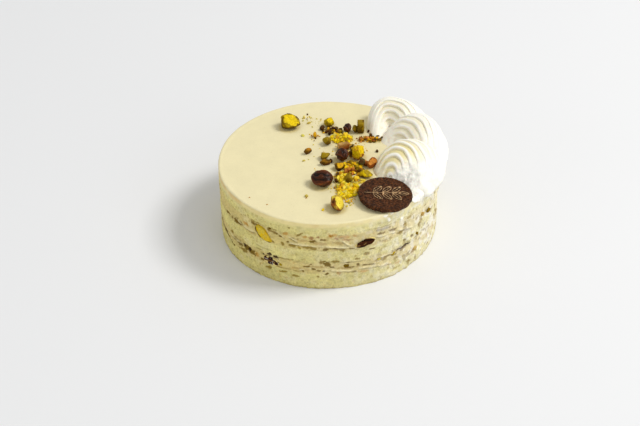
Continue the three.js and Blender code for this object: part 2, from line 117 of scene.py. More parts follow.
# Blotches in the cut side by kind: angle, height, half length, half height and slope in degrees.
# The white ones are drops of cream under the disc.
BLOTCHES = {
    "beige": (
        (-94.4, 39.1, 5.4, 1.1, -2), (-102.9, 40.6, 4.8, 1.3, -1), (-84.5, 38.8, 6.1, 1.3, -5),
        (-82.1, 17.1, 4.9, 0.7, -7), (-104.9, 16.6, 5.7, 1.0, 3), (-95.6, 19.0, 6.1, 1.1, -3),
        (-46.4, 34.2, 4.1, 1.2, -17), (-60.1, 32.7, 3.2, 0.8, -12), (-65.7, 18.3, 3.8, 0.9, -6),
    ),
    "ochre": (
        (-136.7, 38.6, 3.0, 1.1, -3), (-111.9, 44.4, 2.2, 0.9, 6), (-101.3, 44.3, 2.1, 1.0, 7),
        (-88.9, 45.7, 3.0, 1.7, -2), (-82.5, 42.0, 1.7, 0.8, -7), (-76.9, 43.7, 1.8, 1.0, -11),
        (-82.0, 43.9, 4.8, 1.2, -7), (-129.7, 17.0, 2.9, 1.8, 2), (-85.4, 13.4, 1.7, 1.1, -5),
        (-58.7, 12.1, 2.9, 1.3, -13), (-41.2, 11.8, 2.4, 2.6, 11), (-25.7, 12.4, 3.1, 1.3, -17),
        (-19.4, 13.9, 2.0, 2.4, -8), (-24.4, 37.7, 2.0, 1.3, -9), (-71.7, 12.1, 2.9, 0.9, -6),
        (-52.3, 9.8, 2.5, 0.9, -2),
    ),
    "green": (
        (-104.8, 34.4, 1.2, 1.4, 10), (-57.7, 34.0, 1.8, 1.2, -23),
    ),
    "olive": (
        (-174.7, 21.9, 2.2, 1.0, -20), (-121.2, 44.2, 2.1, 0.8, 16), (-109.7, 49.8, 0.9, 0.8, 13),
        (-104.7, 45.3, 2.4, 0.6, 36), (-99.4, 35.0, 6.8, 0.9, -1), (-83.5, 33.2, 2.7, 1.7, -6),
        (-97.5, 33.8, 2.1, 1.0, 5), (-113.5, 35.3, 2.0, 1.5, -28), (-108.7, 34.9, 3.4, 1.3, -9),
        (-120.9, 34.6, 2.8, 0.8, -14), (-146.5, 18.8, 3.2, 1.9, 5), (-150.6, 20.5, 2.8, 1.4, 5),
        (-140.0, 13.5, 4.2, 1.4, 2), (-113.3, 11.1, 3.5, 0.8, 11), (-122.3, 10.5, 3.3, 1.3, 7),
        (-95.4, 16.0, 1.7, 0.8, -10), (-95.7, 10.7, 1.0, 0.8, 3), (-93.6, 23.4, 2.0, 1.3, 2),
        (-79.7, 22.2, 2.0, 0.7, 10), (-77.5, 13.4, 1.8, 0.9, -11), (-107.6, 9.7, 2.9, 0.9, 3),
        (-87.1, 23.3, 3.4, 0.9, -3), (-47.6, 39.1, 2.2, 1.0, -6), (-52.0, 34.8, 2.3, 1.2, -17),
        (-35.1, 17.2, 2.4, 1.1, -32), (-55.6, 19.4, 2.6, 2.0, 15), (-60.8, 18.2, 3.4, 1.7, 8),
        (-58.7, 19.1, 2.2, 0.9, 11), (-64.0, 19.3, 3.0, 1.3, -3), (-48.2, 13.1, 2.1, 0.9, -1),
        (-44.3, 5.8, 2.5, 0.9, -10), (-71.2, 26.6, 2.9, 1.3, -6), (-75.9, 23.9, 2.2, 0.8, -12),
        (-48.4, 26.4, 2.4, 0.8, 12), (-36.5, 30.5, 2.0, 1.3, 40), (-22.5, 31.0, 2.4, 1.2, 25),
        (-18.0, 22.5, 2.6, 1.1, -30), (-28.5, 8.0, 2.2, 1.0, 15),
    ),
    "brown": (
        (-163.0, 16.9, 12.0, 1.1, -15), (-150.5, 11.0, 3.0, 0.8, -20), (-154.2, 34.8, 4.6, 1.2, 10),
        (-144.4, 35.3, 7.1, 1.8, 4), (-131.4, 42.1, 1.8, 0.8, -17), (-125.6, 39.7, 2.2, 0.8, -16),
        (-117.2, 42.0, 1.9, 0.9, 5), (-114.5, 40.9, 2.2, 0.9, 3), (-108.3, 41.0, 2.0, 1.2, -19),
        (-98.4, 40.7, 2.1, 1.3, 5), (-92.9, 42.0, 2.4, 0.8, 1), (-92.0, 33.9, 2.4, 0.9, 0),
        (-87.0, 34.8, 4.1, 0.7, -3), (-78.5, 33.1, 3.5, 0.7, -6), (-110.8, 37.4, 1.1, 0.8, 14),
        (-142.8, 17.5, 3.9, 2.3, 2), (-136.9, 18.5, 4.3, 2.7, 6), (-133.3, 16.8, 3.8, 2.3, 0),
        (-126.5, 15.1, 2.0, 1.2, 24), (-103.1, 14.2, 0.9, 0.9, 9), (-99.5, 20.6, 1.4, 0.6, 6),
        (-101.7, 18.6, 2.8, 0.5, 2), (-98.1, 17.4, 1.7, 1.2, -27), (-91.4, 13.3, 1.6, 0.9, 25),
        (-91.0, 21.1, 3.2, 1.6, -25), (-89.1, 19.1, 2.1, 0.8, -20), (-75.4, 18.9, 1.2, 1.0, 0),
        (-78.5, 17.6, 3.5, 0.6, -4), (-63.0, 40.6, 3.0, 1.1, -4), (-55.9, 39.9, 3.7, 1.1, -6),
        (-49.5, 20.3, 6.6, 1.4, 5), (-28.3, 36.9, 3.2, 1.8, 35), (-69.0, 16.7, 6.7, 0.6, -8),
        (-30.2, 27.4, 2.2, 1.3, -5), (-68.0, 29.7, 3.7, 0.7, -6), (-42.4, 25.4, 1.8, 1.0, -30),
        (-31.0, 21.5, 2.8, 1.0, -20),
    ),
    "rust": (
        (-98.2, 43.5, 1.8, 1.6, 17), (-95.3, 44.4, 1.4, 1.1, 27), (-86.3, 43.0, 2.1, 0.8, -14),
        (-79.7, 41.0, 2.4, 0.8, -9),
    ),
    "dark": (
        (-168.5, 16.8, 9.0, 0.75, -17), (-157.0, 13.6, 9.0, 0.75, -14), (-92.8, 15.5, 1.0, 1.0, 1),
        (-48.3, 20.9, 5.7, 0.75, 3), (-139.2, 18.6, 1.7, 1.2, 15), (-135.2, 17.4, 1.4, 1.0, -10),
        (-125.4, 20.1, 1.0, 0.9, 10), (-124.9, 16.9, 0.9, 1.1, 60), (-117.8, 21.5, 2.4, 1.6, -15),
        (-117.4, 16.9, 2.6, 1.3, -25), (-121.5, 22.3, 2.4, 1.4, 20),
    ),
    "white": (
        (-60.4, 54.4, 1.6, 0.9, 0), (-56.7, 54.2, 1.3, 0.9, 10), (-58.8, 50.6, 1.2, 1.5, 0),
        (-50.5, 46.1, 1.5, 1.8, 20),
    ),
}
# The long dark streaks left of this angle in degrees have no copy at the back.
FIRST_COPIED = -156
# Stained lines along the seams: the seam's number, its offset and width, and the kind of blotch.
SEAM_LINES = (
    (3, -1.8, 1.5, "brown"),
    (3, 0.3, 0.8, "olive"),
    (2, 0.3, 0.9, "ochre"),
    (1, 0.2, 1.0, "olive"),
    (0, 1.2, 0.9, "olive"),
)

# Bits of nut in the cut side: angle, height, length along the side, height of the bit, slope in
# degrees, and kind.
SIDE_BITS = (
    (-121.2, 44.2, 3.6, 1.8, 16, "olive"), (-115.2, 16.2, 4.2, 3.0, -16, "green"),
    (-103.7, 19.9, 5.0, 3.2, -8, "green"), (-88.9, 45.7, 5.4, 2.6, -2, "ochre"),
    (-81.3, 19.2, 5.0, 3.4, 4, "olive"), (-104.8, 34.4, 2.4, 2.4, 0, "green"),
    (-39.9, 13.0, 4.0, 3.6, 20, "beige"), (-33.8, 37.6, 4.2, 2.8, 10, "beige"),
    (-27.5, 35.6, 4.6, 3.2, 8, "olive"), (-55.5, 19.6, 4.2, 2.6, 15, "green"),
    (-64.0, 19.3, 4.4, 2.0, -3, "pistache"), (-98.3, 43.2, 2.4, 2.0, 17, "rust"),
    (-38.2, 24.6, 2.4, 2.2, 0, "olive"),
)

# Nuts and raisins cut by the side: angle, height, length along the side, height and depth of the
# piece, and slope in degrees.
SIDE_PIECES = {
    "pistachio_side": (-124.7, 37.9, (16.5, 9.2, 11.0), -37),
    "raisin_side_upper": (-71.5, 36.4, (15.5, 6.0, 9.0), 14),
    "raisin_side_lower": (-120.8, 17.2, (13.5, 6.8, 10.0), -8),
}

# Nuts and raisins on the top: form, middle, length, width and height, turn and lean in degrees,
# the colours of its broken faces, its skin and its patches, and its breaks, each by the compass
# turn and the rise of the way it faces and by its share of the reach that way.
TOPPINGS = {
    "pistachio_back": (
        "kernel", (-27.2, 42.8), (16, 12.5, 10.5), -22, 12, ("yellow", "olive", "husk"),
        ((-60, 58, 0.5), (120, 30, 0.8)),
    ),
    "pistachio_centre": (
        "kernel", (22, 0.7), (12.5, 9.6, 10.8), 72, 20, ("yellow", "gold", "rust"),
        ((-30, 32, 0.66), (60, 60, 0.8), (-120, 5, 0.72)),
    ),
    "pistachio_front": (
        "kernel", (6.1, -60.2), (14.5, 9.6, 10), 112, -15, ("lemon", "rust", "brown"),
        ((-22, 36, 0.34), (160, 50, 0.8)),
    ),
    "nut_right": (
        "kernel", (31, -10.3), (9.2, 6.8, 7.5), 62, 10, ("copper", "rust", "rust"),
        ((-60, 35, 0.7), (150, 30, 0.6)),
    ),
    "raisin_left": ("raisin", (-4.1, -31.8), (15.8, 12.4, 9.8), -24, 14, ("raisin", "raisin", "prune"), ()),
    "raisin_centre": ("raisin", (10.2, -2.5), (10.5, 8.4, 8.8), -70, 25, ("raisin", "raisin", "prune"), ()),
    "raisin_back": ("raisin", (14.7, 34.6), (7.5, 5.6, 6.5), 100, 20, ("raisin", "prune", "prune"), ()),
    "chunk_upright": ("slab", (24.5, 34.5), (5.2, 6.5, 10), -6, 8, ("green", "olive", "husk"), ()),
    "chunk_back": (
        "kernel", (1.8, 43.7), (8.4, 7.4, 6.6), 30, 15, ("yellow", "green", "husk"),
        ((-50, 62, 0.72), (20, 20, 0.7)),
    ),
    "chunk_pale": ("slab", (11.2, 12), (8.6, 6.2, 4.8), 15, -10, ("pale", "rust", "brown"), ()),
    "chunk_yellow": (
        "kernel", (8.4, -13.1), (8.2, 6, 5), 8, 10, ("gold", "husk", "brown"),
        ((-80, 65, 0.6),),
    ),
    "chunk_dark": ("chunk", (24.2, -8.8), (6.2, 5.4, 5), 20, 0, ("slate", "slate", "brown"), ()),
    "chunk_long": (
        "kernel", (26.3, -23.3), (10.4, 6, 5.6), -18, 20, ("green", "yellow", "husk"),
        ((-60, 55, 0.7), (150, 40, 0.75)),
    ),
}

# A topping whose broken faces have one of these colours is a roasted nut.
ROASTED = ("copper", "pale", "slate")
# How many shallow chips each kernel has.
CHIPS = 7

# Chopped bits: middle, length, width and height, turn in degrees, and kind.
BITS = (
    ((-14.2, 6.9), (6.2, 3.5, 5.0), 20, "husk"), ((-2.0, 0.4), (8.0, 5.6, 5.6), 60, "green"),
    ((-1.2, -7.2), (8.0, 4.8, 5.0), 10, "husk"), ((-8.9, 28.6), (5.5, 2.8, 4.4), 100, "ochre"),
    ((-0.2, 19.0), (7.6, 6.4, 5.6), 150, "green"), ((-3.7, 38.2), (4.8, 3.4, 3.9), 30, "brown"),
    ((1.0, 37.4), (3.4, 2.1, 2.8), 70, "ochre"), ((4.3, 36.0), (4.8, 2.4, 3.9), 20, "brown"),
    ((6.5, 37.9), (3.4, 3.3, 2.8), 110, "husk"), ((2.0, 31.3), (4.8, 2.4, 3.9), 60, "brown"),
    ((8.6, 35.5), (2.8, 1.4, 2.2), 0, "gold"), ((24.3, 23.3), (3.4, 2.7, 2.8), 30, "rust"),
    ((28.7, 23.9), (3.4, 3.3, 2.8), 120, "rust"), ((31.4, 27.8), (3.4, 2.1, 2.8), 60, "brown"),
    ((21.4, 35.8), (2.8, 3.6, 2.2), 20, "husk"), ((14.4, -28.8), (5.2, 6.8, 6.6), 10, "olive"),
    ((6.7, -24.6), (2.1, 2.7, 1.7), 5, "brown"), ((14.6, -47.6), (3.4, 2.1, 2.8), 40, "husk"),
    ((7.9, -15.0), (4.1, 2.1, 3.3), 0, "brown"), ((13.1, -19.5), (2.8, 1.4, 2.2), 20, "copper"),
    ((15.2, -17.4), (3.4, 1.7, 2.8), 80, "copper"), ((17.6, -20.2), (2.8, 1.4, 2.2), 130, "rust"),
    ((15.8, -22.0), (2.8, 1.4, 2.2), 10, "copper"), ((19.4, -18.1), (3.4, 1.7, 2.8), 160, "rust"),
    ((11.2, -23.8), (2.8, 1.4, 2.2), 40, "brown"), ((17.1, -9.6), (4.1, 2.1, 3.3), 30, "yellow"),
    ((14.3, -8.0), (3.4, 2.1, 2.8), 90, "green"), ((20.6, -9.7), (2.8, 1.4, 2.2), 20, "gold"),
    ((2.4, -3.9), (3.4, 2.1, 2.8), 120, "brown"), ((9.0, 13.6), (4.1, 2.7, 3.3), 30, "beige"),
    ((32.1, 40.5), (2.1, 2.7, 1.7), 10, "husk"), ((30.5, 34.1), (2.8, 2.6, 2.2), 60, "brown"),
    ((-8.5, 26.5), (1.5, 1.2, 1.2), 0, "brown"), ((4.5, -36.4), (1.5, 1.2, 1.2), 0, "husk"),
    ((9.0, -32.8), (2.8, 1.4, 2.2), 20, "yellow"), ((19.4, -29.5), (2.8, 1.4, 2.2), 50, "gold"),
    ((10.2, -42.2), (3.4, 1.7, 2.8), 80, "yellow"), ((15.8, -39.0), (2.8, 1.4, 2.2), 140, "gold"),
    ((12.8, 24.3), (3.4, 1.7, 2.8), 30, "yellow"), ((16.4, 25.2), (2.8, 1.4, 2.2), 90, "gold"),
    ((7.0, 23.8), (3.4, 2.1, 2.8), 10, "gold"), ((35.4, 8.0), (2.1, 2.7, 1.7), 0, "brown"),
    ((19.5, -27), (5.5, 3.2, 3.4), 15, "lemon"), ((9.5, -36), (4.4, 3.4, 3.2), 30, "gold"),
    ((12.5, -41.5), (4.6, 3.4, 3.2), 100, "yellow"), ((8.5, -43), (3.8, 2.8, 2.6), 0, "lemon"),
    ((9.5, -28), (4.8, 3.4, 3.6), 120, "yellow"), ((9, -21.5), (4.4, 3.2, 3.4), 60, "gold"),
    ((17.5, -34.5), (4.4, 3.2, 3.2), 150, "yellow"), ((21.8, -22.5), (4.6, 3, 2.8), 20, "gold"),
    ((16.6, -8.6), (6, 3.8, 3.8), 25, "green"), ((20.5, -13.2), (4.8, 3.2, 3.2), -20, "olive"),
    ((7.8, 26.5), (4.4, 3.2, 3.4), 20, "yellow"), ((13, 28), (4.6, 3.4, 3.4), 80, "lemon"),
    ((15.6, 23), (4.2, 3, 3.2), 130, "gold"), ((10.5, 21.8), (4.4, 3.4, 3.2), 50, "yellow"),
    ((5.5, -29), (3.2, 2.2, 2.8), 80, "brown"), ((27.2, -9.2), (4.6, 3.6, 4.4), 60, "rust"),
    ((16.2, 3.2), (3.6, 3, 3.8), 20, "husk"), ((17.6, 7.8), (4, 3, 3), 110, "green"),
    ((24.5, -17.2), (4.2, 2.8, 2.6), -25, "green"), ((3.2, 33.5), (3.4, 2.6, 2.6), 40, "olive"),
    ((9.8, 33.4), (3.6, 2.6, 2.8), 10, "green"), ((6.8, -22.4), (2.2, 6.6, 3.6), -8, "brown"),
    ((22.8, -19.2), (6.5, 3.4, 3.8), -25, "husk"), ((20.5, 35.0), (5.4, 4.2, 5.6), 20, "olive"),
    ((14.8, -17.7), (4.2, 3.0, 4.6), 30, "copper"), ((17.6, -17.2), (3.8, 3.2, 4.8), 100, "rust"),
    ((12.9, -19.5), (3.6, 2.6, 4.4), 70, "copper"),
)
# Of each kind of chopped bit: the colours of its broken faces, its skin and its patches.
BIT_COLOURS = {
    "lemon": ("lemon", "yellow", "gold"),
    "yellow": ("yellow", "gold", "olive"),
    "gold": ("gold", "ochre", "husk"),
    "green": ("green", "olive", "husk"),
    "olive": ("green", "olive", "husk"),
    "husk": ("ochre", "husk", "brown"),
    "ochre": ("gold", "ochre", "brown"),
    "copper": ("copper", "rust", "brown"),
    "rust": ("copper", "rust", "brown"),
    "brown": ("husk", "brown", "prune"),
    "beige": ("pale", "beige", "brown"),
}

# The share of its size by which each crumb sinks in.
CRUMB_SINK = 0.12
# Scattered crumbs: middle and reach of an oval patch, count, smallest and largest size, height of
# the heap in the middle, and the kinds that are drawn from.
CRUMB_PATCHES = (
    (
        (10.3, 24.7), (8.0, 5.8), 190, 1.0, 3.8, 1.9,
        ("yellow", "lemon", "yellow", "yellow", "pistache", "green"),
    ),
    ((15, 14), (7, 5), 40, 0.8, 2.8, 0.8, ("olive", "gold", "husk", "yellow")),
    ((4, 36), (8, 4), 60, 0.9, 3.2, 1.2, ("brown", "husk", "olive", "gold")),
    ((28.5, 24.5), (8, 4.5), 80, 0.7, 3.0, 0.7, ("rust", "ochre", "gold", "copper", "olive")),
    ((35.5, 24), (5.5, 4), 60, 0.7, 3.0, 1.0, ("ochre", "husk", "olive", "gold", "brown")),
    ((-9, 29), (4, 3), 14, 0.7, 1.8, 0.2, ("ochre", "gold")),
    (
        (9.6, -26.8), (4.6, 10.5), 130, 1.0, 4.0, 1.6,
        ("yellow", "lemon", "yellow", "gold", "lemon", "green"),
    ),
    (
        (13.4, -39.6), (8.4, 9.6), 225, 1.0, 4.0, 1.7,
        ("yellow", "lemon", "yellow", "lemon", "gold", "pistache"),
    ),
    ((17.4, -10.9), (6.8, 6.4), 120, 0.9, 3.4, 1.6, ("yellow", "yellow", "pistache", "gold", "green")),
    ((20.2, -27.7), (7.0, 5.5), 60, 0.8, 2.8, 0.5, ("yellow", "lemon", "pistache", "lemon")),
    ((16.5, -10), (8, 4.5), 110, 0.8, 3.2, 1.3, ("green", "gold", "yellow", "olive", "pistache")),
    ((15.5, -17.5), (5.5, 3), 60, 0.9, 2.8, 1.9, ("copper", "rust", "gold", "lemon", "brown")),
    ((13, -51), (5.5, 8), 40, 0.5, 2.4, 0.1, ("yellow", "pistache", "gold")),
    ((13, -28), (14, 17), 110, 0.4, 1.4, 0.0, ("yellow", "pistache", "gold")),
    ((-14, 50), (8, 7), 16, 0.5, 1.8, 0.0, ("pistache", "pistache", "yellow")),
    ((-5, 50), (8, 6), 10, 0.4, 1.3, 0.0, ("pistache", "pistache", "yellow")),
    ((5, 4), (22, 38), 60, 0.4, 1.2, 0.0, ("yellow", "pistache", "pistache", "gold")),
    ((16, 12), (13, 12), 50, 0.5, 1.8, 0.2, ("yellow", "gold", "husk", "gold")),
    ((42, 30), (12, 10), 26, 0.5, 1.4, 0.0, ("husk", "olive", "brown")),
)
# The pieces that the crumbs are gathered in: name, material slot and kinds.
CRUMB_PIECES = (
    ("pistachio_crumbs", "pistachio", ("yellow", "lemon", "gold", "green", "olive", "pistache")),
    ("roasted_crumbs", "roasted_nut", ("ochre", "copper", "rust", "brown", "husk")),
)
# Crumbs above this size have more faces.
LARGE_CRUMB = 1.7
# Crumbs that lie alone: place, size and kind.
LONE_CRUMBS = (
    (-15.2, -46.0, 2.6, "pistache"), (-3.6, -62.0, 1.9, "yellow"), (14.1, -54.4, 2.4, "pistache"),
    (15.0, -57.3, 1.6, "pistache"), (12.6, -58.4, 1.4, "yellow"), (-17.0, 53.9, 2.6, "pistache"),
    (-13.3, 46.9, 2.8, "pistache"), (-14.8, 53.1, 1.6, "brown"), (-11.8, 54.4, 1.4, "pistache"),
    (-14.3, 58.7, 1.6, "brown"), (-10.7, 42.0, 1.6, "pistache"), (-12.9, 32.0, 1.4, "yellow"),
    (-17.6, 30.1, 2.2, "pistache"), (-9.6, 23.3, 1.2, "olive"), (-17.1, -2.4, 2.2, "pistache"),
    (-13.5, -0.6, 1.6, "pistache"), (-4.4, 52.1, 1.6, "pistache"), (-7.4, 52.9, 1.4, "pistache"),
    (-14.8, -47.7, 1.2, "ochre"), (-41.6, -54.6, 1.3, "ochre"), (-53.8, -46.1, 0.9, "ochre"),
    (1.7, -31.5, 1.4, "yellow"), (0.3, -37.4, 1.2, "pistache"), (2.0, -41.1, 1.0, "pistache"),
)

# The disc's middle, sizes, and tilts in degrees, and how much the sprig is enlarged.
DISC_AT = (38.7, -49.4)
DISC_RADIUS = 18.6
DISC_THICKNESS = 3.0
DISC_EDGE = 0.8
DISC_ROLL, DISC_PITCH = 4.0, 1.5
SPRIG_SCALE = 1.5
# Steps of the disc's mesh round it and from its top's edge to the middle.
DISC_MESH = (420, 112)

# Count of ribs on a swirl, and the share of a rib that is gone where the first one starts.
RIBS, RIB_START = 10, 0.32
# Middle and half sizes of the torn patch of the front swirl, from the top of the cake.
TORN_AT, TORN_HALF = (56.0, -34.5, 5.0), (10, 13, 9)
# Steps of a swirl's mesh from its eye to its tail and over its arch.
SWIRL_MESH = (460, 160)
# How far the swirls reach down inside the top cream.
CREAM_HANG = 3.0
# Control points of each swirl's left foot, crown and right foot, from the top of the cake.
SWIRLS = {
    "swirl_back": dict(
        left=((48, 36, 0), (32, 2, 0), (21.5, 51, 0), (36, 56, 0)),
        crown=((48, 36, 0), (43.5, 37, 15.5), (56, 61.5, 34), (58.5, 46, 0)),
        right=((48, 36, 0), (56.5, -18.5, 0), (75.5, 25.5, -1), (79, 32.5, -2)),
        shoulder=0.85,
        roundness=0.79,
    ),
    "swirl_middle": dict(
        left=((53.5, 9.5, 0), (19.5, 24, 0), (53, 34, 0), (64.5, 44, 0)),
        crown=((53.5, 9.5, 0), (52.5, 21.5, 17.5), (80.5, 25.5, 32), (81, 25, 0)),
        right=((53.5, 9.5, 0), (50, -20, 0), (78.5, -20.5, -1), (83, -2, -2)),
        shoulder=1.05,
        roundness=0.87,
    ),
    "swirl_front": dict(
        left=((43, -31, 0), (30.5, -25, 0), (14.5, 1.5, 0), (84.5, 5.5, 0)),
        crown=((43, -31, 0), (45, -14, 19.5), (64.5, 3.5, 24.5), (84, -6, 0)),
        right=((43, -31, 0), (46, -34, 0), (69, -67.5, -1), (81.5, -19, -2)),
        shoulder=1.05,
        roundness=0.79,
    ),
}
# The smear beside the disc: compass angle, radius of the cake's rim there, start of its run from
# the rim, radius of its bend, and half sizes of the sheet.
SMEAR = dict(angle=-39, rim=78.9, at=-2.2, bend=2.0, half=(6.8, 7.4, 1.1))


def linear(code):
    """A colour code such as #dcce90 as linear red, green and blue: each share is divided by 12.92
    below 0.04045, and above it 0.055 is added, the sum divided by 1.055 and raised to 2.4."""
    shares = np.array([int(code[i : i + 2], 16) for i in (1, 3, 5)]) / 255
    return tuple(np.where(shares < 0.04045, shares / 12.92, ((shares + 0.055) / 1.055) ** 2.4))


def colour_of(name, description, code):
    """A colour property with its name, its description and its default as a code."""
    return FloatVectorProperty(
        name=name, description=description, default=linear(code), subtype="COLOR", size=3, min=0, max=1
    )


class CakeColours(bpy.types.PropertyGroup):
    """The colours of the cake's foods, and of the shade and light painted on them."""

    sponge: colour_of("Sponge", "Cut side of the sponges", "#e2d68a")
    # Painted shade in the pits of the cut sponge.
    sponge_pit: colour_of("Sponge pits", "Pits between the crumbs", "#a8923e")
    filling: colour_of("Filling", "Cream between the sponges", "#d8c57e")
    seam: colour_of("Seams", "Syrupy blotches along the seams", "#8a6f16")
    lip: colour_of("Filling smears", "Smears that stand out of the side", "#e6d9a3")
    pistachio_cream: colour_of("Top cream", "Smooth cream on the top", "#eadfb2")
    cream_side: colour_of("Top cream side", "Scraped side of the top cream", "#eedc98")
    # Gold of the top cream's side: in patches, and deeper on the left as painted shade.
    cream_gold: colour_of("Golden cream", "Dried side of the top cream", "#dfc07a")
    whipped_cream: colour_of("Whipped cream", "Crests of the swirls", "#fffcf0")
    # Painted shade of the swirls: yellow in the creases and shaded faces of the ribs, and on their left
    # side.
    cream_crease: colour_of("Cream creases", "Creases between the ribs", "#e0d088")
    # Grey of painted shade in the torn cream's hollows, the right feet's low lumps and the smear's grooves;
    # also the sugar on a torn raisin.
    cream_grey: colour_of("Torn cream", "Hollows of torn cream", "#d0ccc2")
    chocolate: colour_of("Chocolate", "The disc", "#40220d")
    # Painted highlight on the raised lines of the disc's relief.
    chocolate_line: colour_of("Raised chocolate", "Rubbed lines of the relief", "#b09068")
    yellow: colour_of("Kernel yellow", "Bright inside of the kernels", "#e8c80c")
    lemon: colour_of("Kernel lemon", "Palest flakes", "#efd648")
    gold: colour_of("Kernel gold", "Warm pale kernels", "#e2ac14")
    pistache: colour_of("Pale pistachio", "Thin flakes that lie alone", "#cbbb55")
    green: colour_of("Kernel green", "Green-gold of the kernels", "#a68a12")
    olive: colour_of("Kernel olive", "Dull green skins", "#775c0a")
    husk: colour_of("Kernel husk", "Dark brown-green skins", "#553c06")
    slate: colour_of("Kernel slate", "Grey-green skins", "#56502a")
    # Nut dust and oil on the top cream, and painted shade under the crumb heaps and round the toppings'
    # feet.
    oil: colour_of("Nut oil", "Stain of dust and oil under the crumbs", "#c4a62e")
    ochre: colour_of("Ochre", "Roasted edges", "#bd8216")
    copper: colour_of("Copper", "Roasted orange flesh", "#d28a36")
    # Red-brown; also the painted highlight on the ridges of the raisins on the top.
    rust: colour_of("Rust", "Red-brown skins", "#94501a")
    brown: colour_of("Brown", "Dark skins", "#522c0c")
    beige: colour_of("Beige", "Stained filling", "#b3924f")
    pale: colour_of("Pale nut", "Beige nut", "#c99f57")
    raisin: colour_of("Raisin", "Skin of the raisins", "#48210a")
    # Dark of the raisins; on the raisins on the top it is painted as shade in the folds.
    prune: colour_of("Raisin dark", "Folds of the raisins", "#140803")


def length_of(name, description, millimetres):
    """A length property with its name, its description and its default in millimetres."""
    return FloatProperty(
        name=name, description=description, default=millimetres * MM, min=0,
        subtype="DISTANCE", unit="LENGTH",
    )


class CakeSizes(bpy.types.PropertyGroup):
    """Sizes that change how rough or rich the cake looks."""

    crumb_relief: length_of("Crumb relief", "Roughness of the cut sponge", 0.55)
    seam_depth: length_of("Seam depth", "Depth of the seams between layers", 0.55)
    rib_relief: length_of("Rib relief", "Half height of the ribs on the swirls", 0.95)
    disc_relief: length_of("Disc relief", "Height of the sprig on the disc", 0.5)
    mesh_step: length_of("Side step", "Step of the mesh round the side", 0.42)
    crumb_share: FloatProperty(
        name="Crumbs", description="Share of the scattered crumbs that is made",
        default=1.0, min=0.1, max=3,
    )
    seed: IntProperty(name="Seed", description="Start of the random draws", default=7)


# ---------------------------------------------------------------- noise on whole arrays
def corner_random(i, j, k, seed):
    """A number from 0 to 1 for each corner of a lattice: the three whole numbers and the seed are
    multiplied by large primes, joined by exclusive or, stirred by shifts, and cut to 24 bits."""
    h = (i * 73856093) ^ (j * 19349663) ^ (k * 83492791) ^ (seed * 2654435)
    h &= 0xFFFFFFFF
    h = ((h ^ (h >> 15)) * 2246822519) & 0xFFFFFFFF
    h = ((h ^ (h >> 13)) * 3266489917) & 0xFFFFFFFF
    return ((h ^ (h >> 16)) & 0xFFFFFF) / 16777215.0


def soft_noise(points, cell, seed):
    """Smooth noise from -1 to 1: each point lies in a cube of the given edge, and the random
    numbers of the cube's eight corners are blended by the smooth step of its place in the cube."""
    place = np.asarray(points, float) / cell
    corner = np.floor(place).astype(np.int64)
    share = place - corner
    share = share * share * (3 - 2 * share)
    total = np.zeros(place.shape[:-1])
    for step in np.ndindex(2, 2, 2):
        weight = np.prod(np.where(step, share, 1 - share), axis=-1)
        total += weight * corner_random(*(corner[..., a] + step[a] for a in range(3)), seed)
    return 2 * total - 1


def cell_noise(points, cell, seed):
    """Distance in cells to the nearest of the seeds of a jittered lattice, one in each cube, and
    that seed's own number from 0 to 1."""
    place = np.asarray(points, float) / cell
    corner = np.floor(place).astype(np.int64)
    nearest = np.full(place.shape[:-1], 9.0)
    number = np.zeros(place.shape[:-1])
    for step in np.ndindex(3, 3, 3):
        cube = [corner[..., a] + step[a] - 1 for a in range(3)]
        dot = np.stack([cube[a] + corner_random(*cube, seed + a) for a in range(3)], -1)
        distance = np.linalg.norm(place - dot, axis=-1)
        closer = distance < nearest
        nearest = np.where(closer, distance, nearest)
        number = np.where(closer, corner_random(*cube, seed + 5), number)
    return nearest, number


def ramp(value, start, end):
    """A smooth step: 0 at start, 1 at end, and 3 times the square less twice the cube between."""
    share = np.clip((value - start) / (end - start), 0, 1)
    return share * share * (3 - 2 * share)


def bell(distance, width):
    """A bell: e to the power of less the square of the distance over the width."""
    return np.exp(-((distance / width) ** 2))


def mix(first, second, share):
    """Each colour moved from the first to the second by its share."""
    share = np.asarray(share)[..., None]
    return np.asarray(first) * (1 - share) + np.asarray(second) * share


def even_turns(count):
    """Angles by equal steps once round."""
    return np.arange(count) * 2 * math.pi / count


def turned_from(degrees, at):
    """How far each angle is turned from the one at hand, from -180 to 180 degrees."""
    return (degrees - at + 180) % 360 - 180


def turn_matrix(axis, degrees):
    """A turn about one of the axes X, Y or Z as a three by three array."""
    return np.array(Matrix.Rotation(math.radians(degrees), 3, axis))


def round_points(radius, angle, z):
    """Points from radius, angle and height."""
    return np.stack([radius * np.cos(angle), radius * np.sin(angle), z], -1)


# ---------------------------------------------------------------- meshes
def closed_tube(grid, start=None, end=None):
    """Points and faces of a closed form: rows of points carried along a path, each row closed on
    itself by quads to the next row, and a fan of triangles to a middle point at both ends."""
    rows, around = grid.shape[:2]
    start = grid[0].mean(0) if start is None else start
    end = grid[-1].mean(0) if end is None else end
    points = np.concatenate([grid.reshape(-1, 3), [start], [end]])
    here = np.arange(around)
    after = (here + 1) % around
    base = (np.arange(rows - 1) * around)[:, None]
    quads = np.stack(
        [base + here, base + after, base + around + after, base + around + here], -1
    ).reshape(-1, 4)
    last = (rows - 1) * around
    first_fan = np.stack([np.full(around, rows * around), after, here], -1)
    last_fan = np.stack([np.full(around, rows * around + 1), last + here, last + after], -1)
    return points, quads, np.concatenate([first_fan, last_fan])


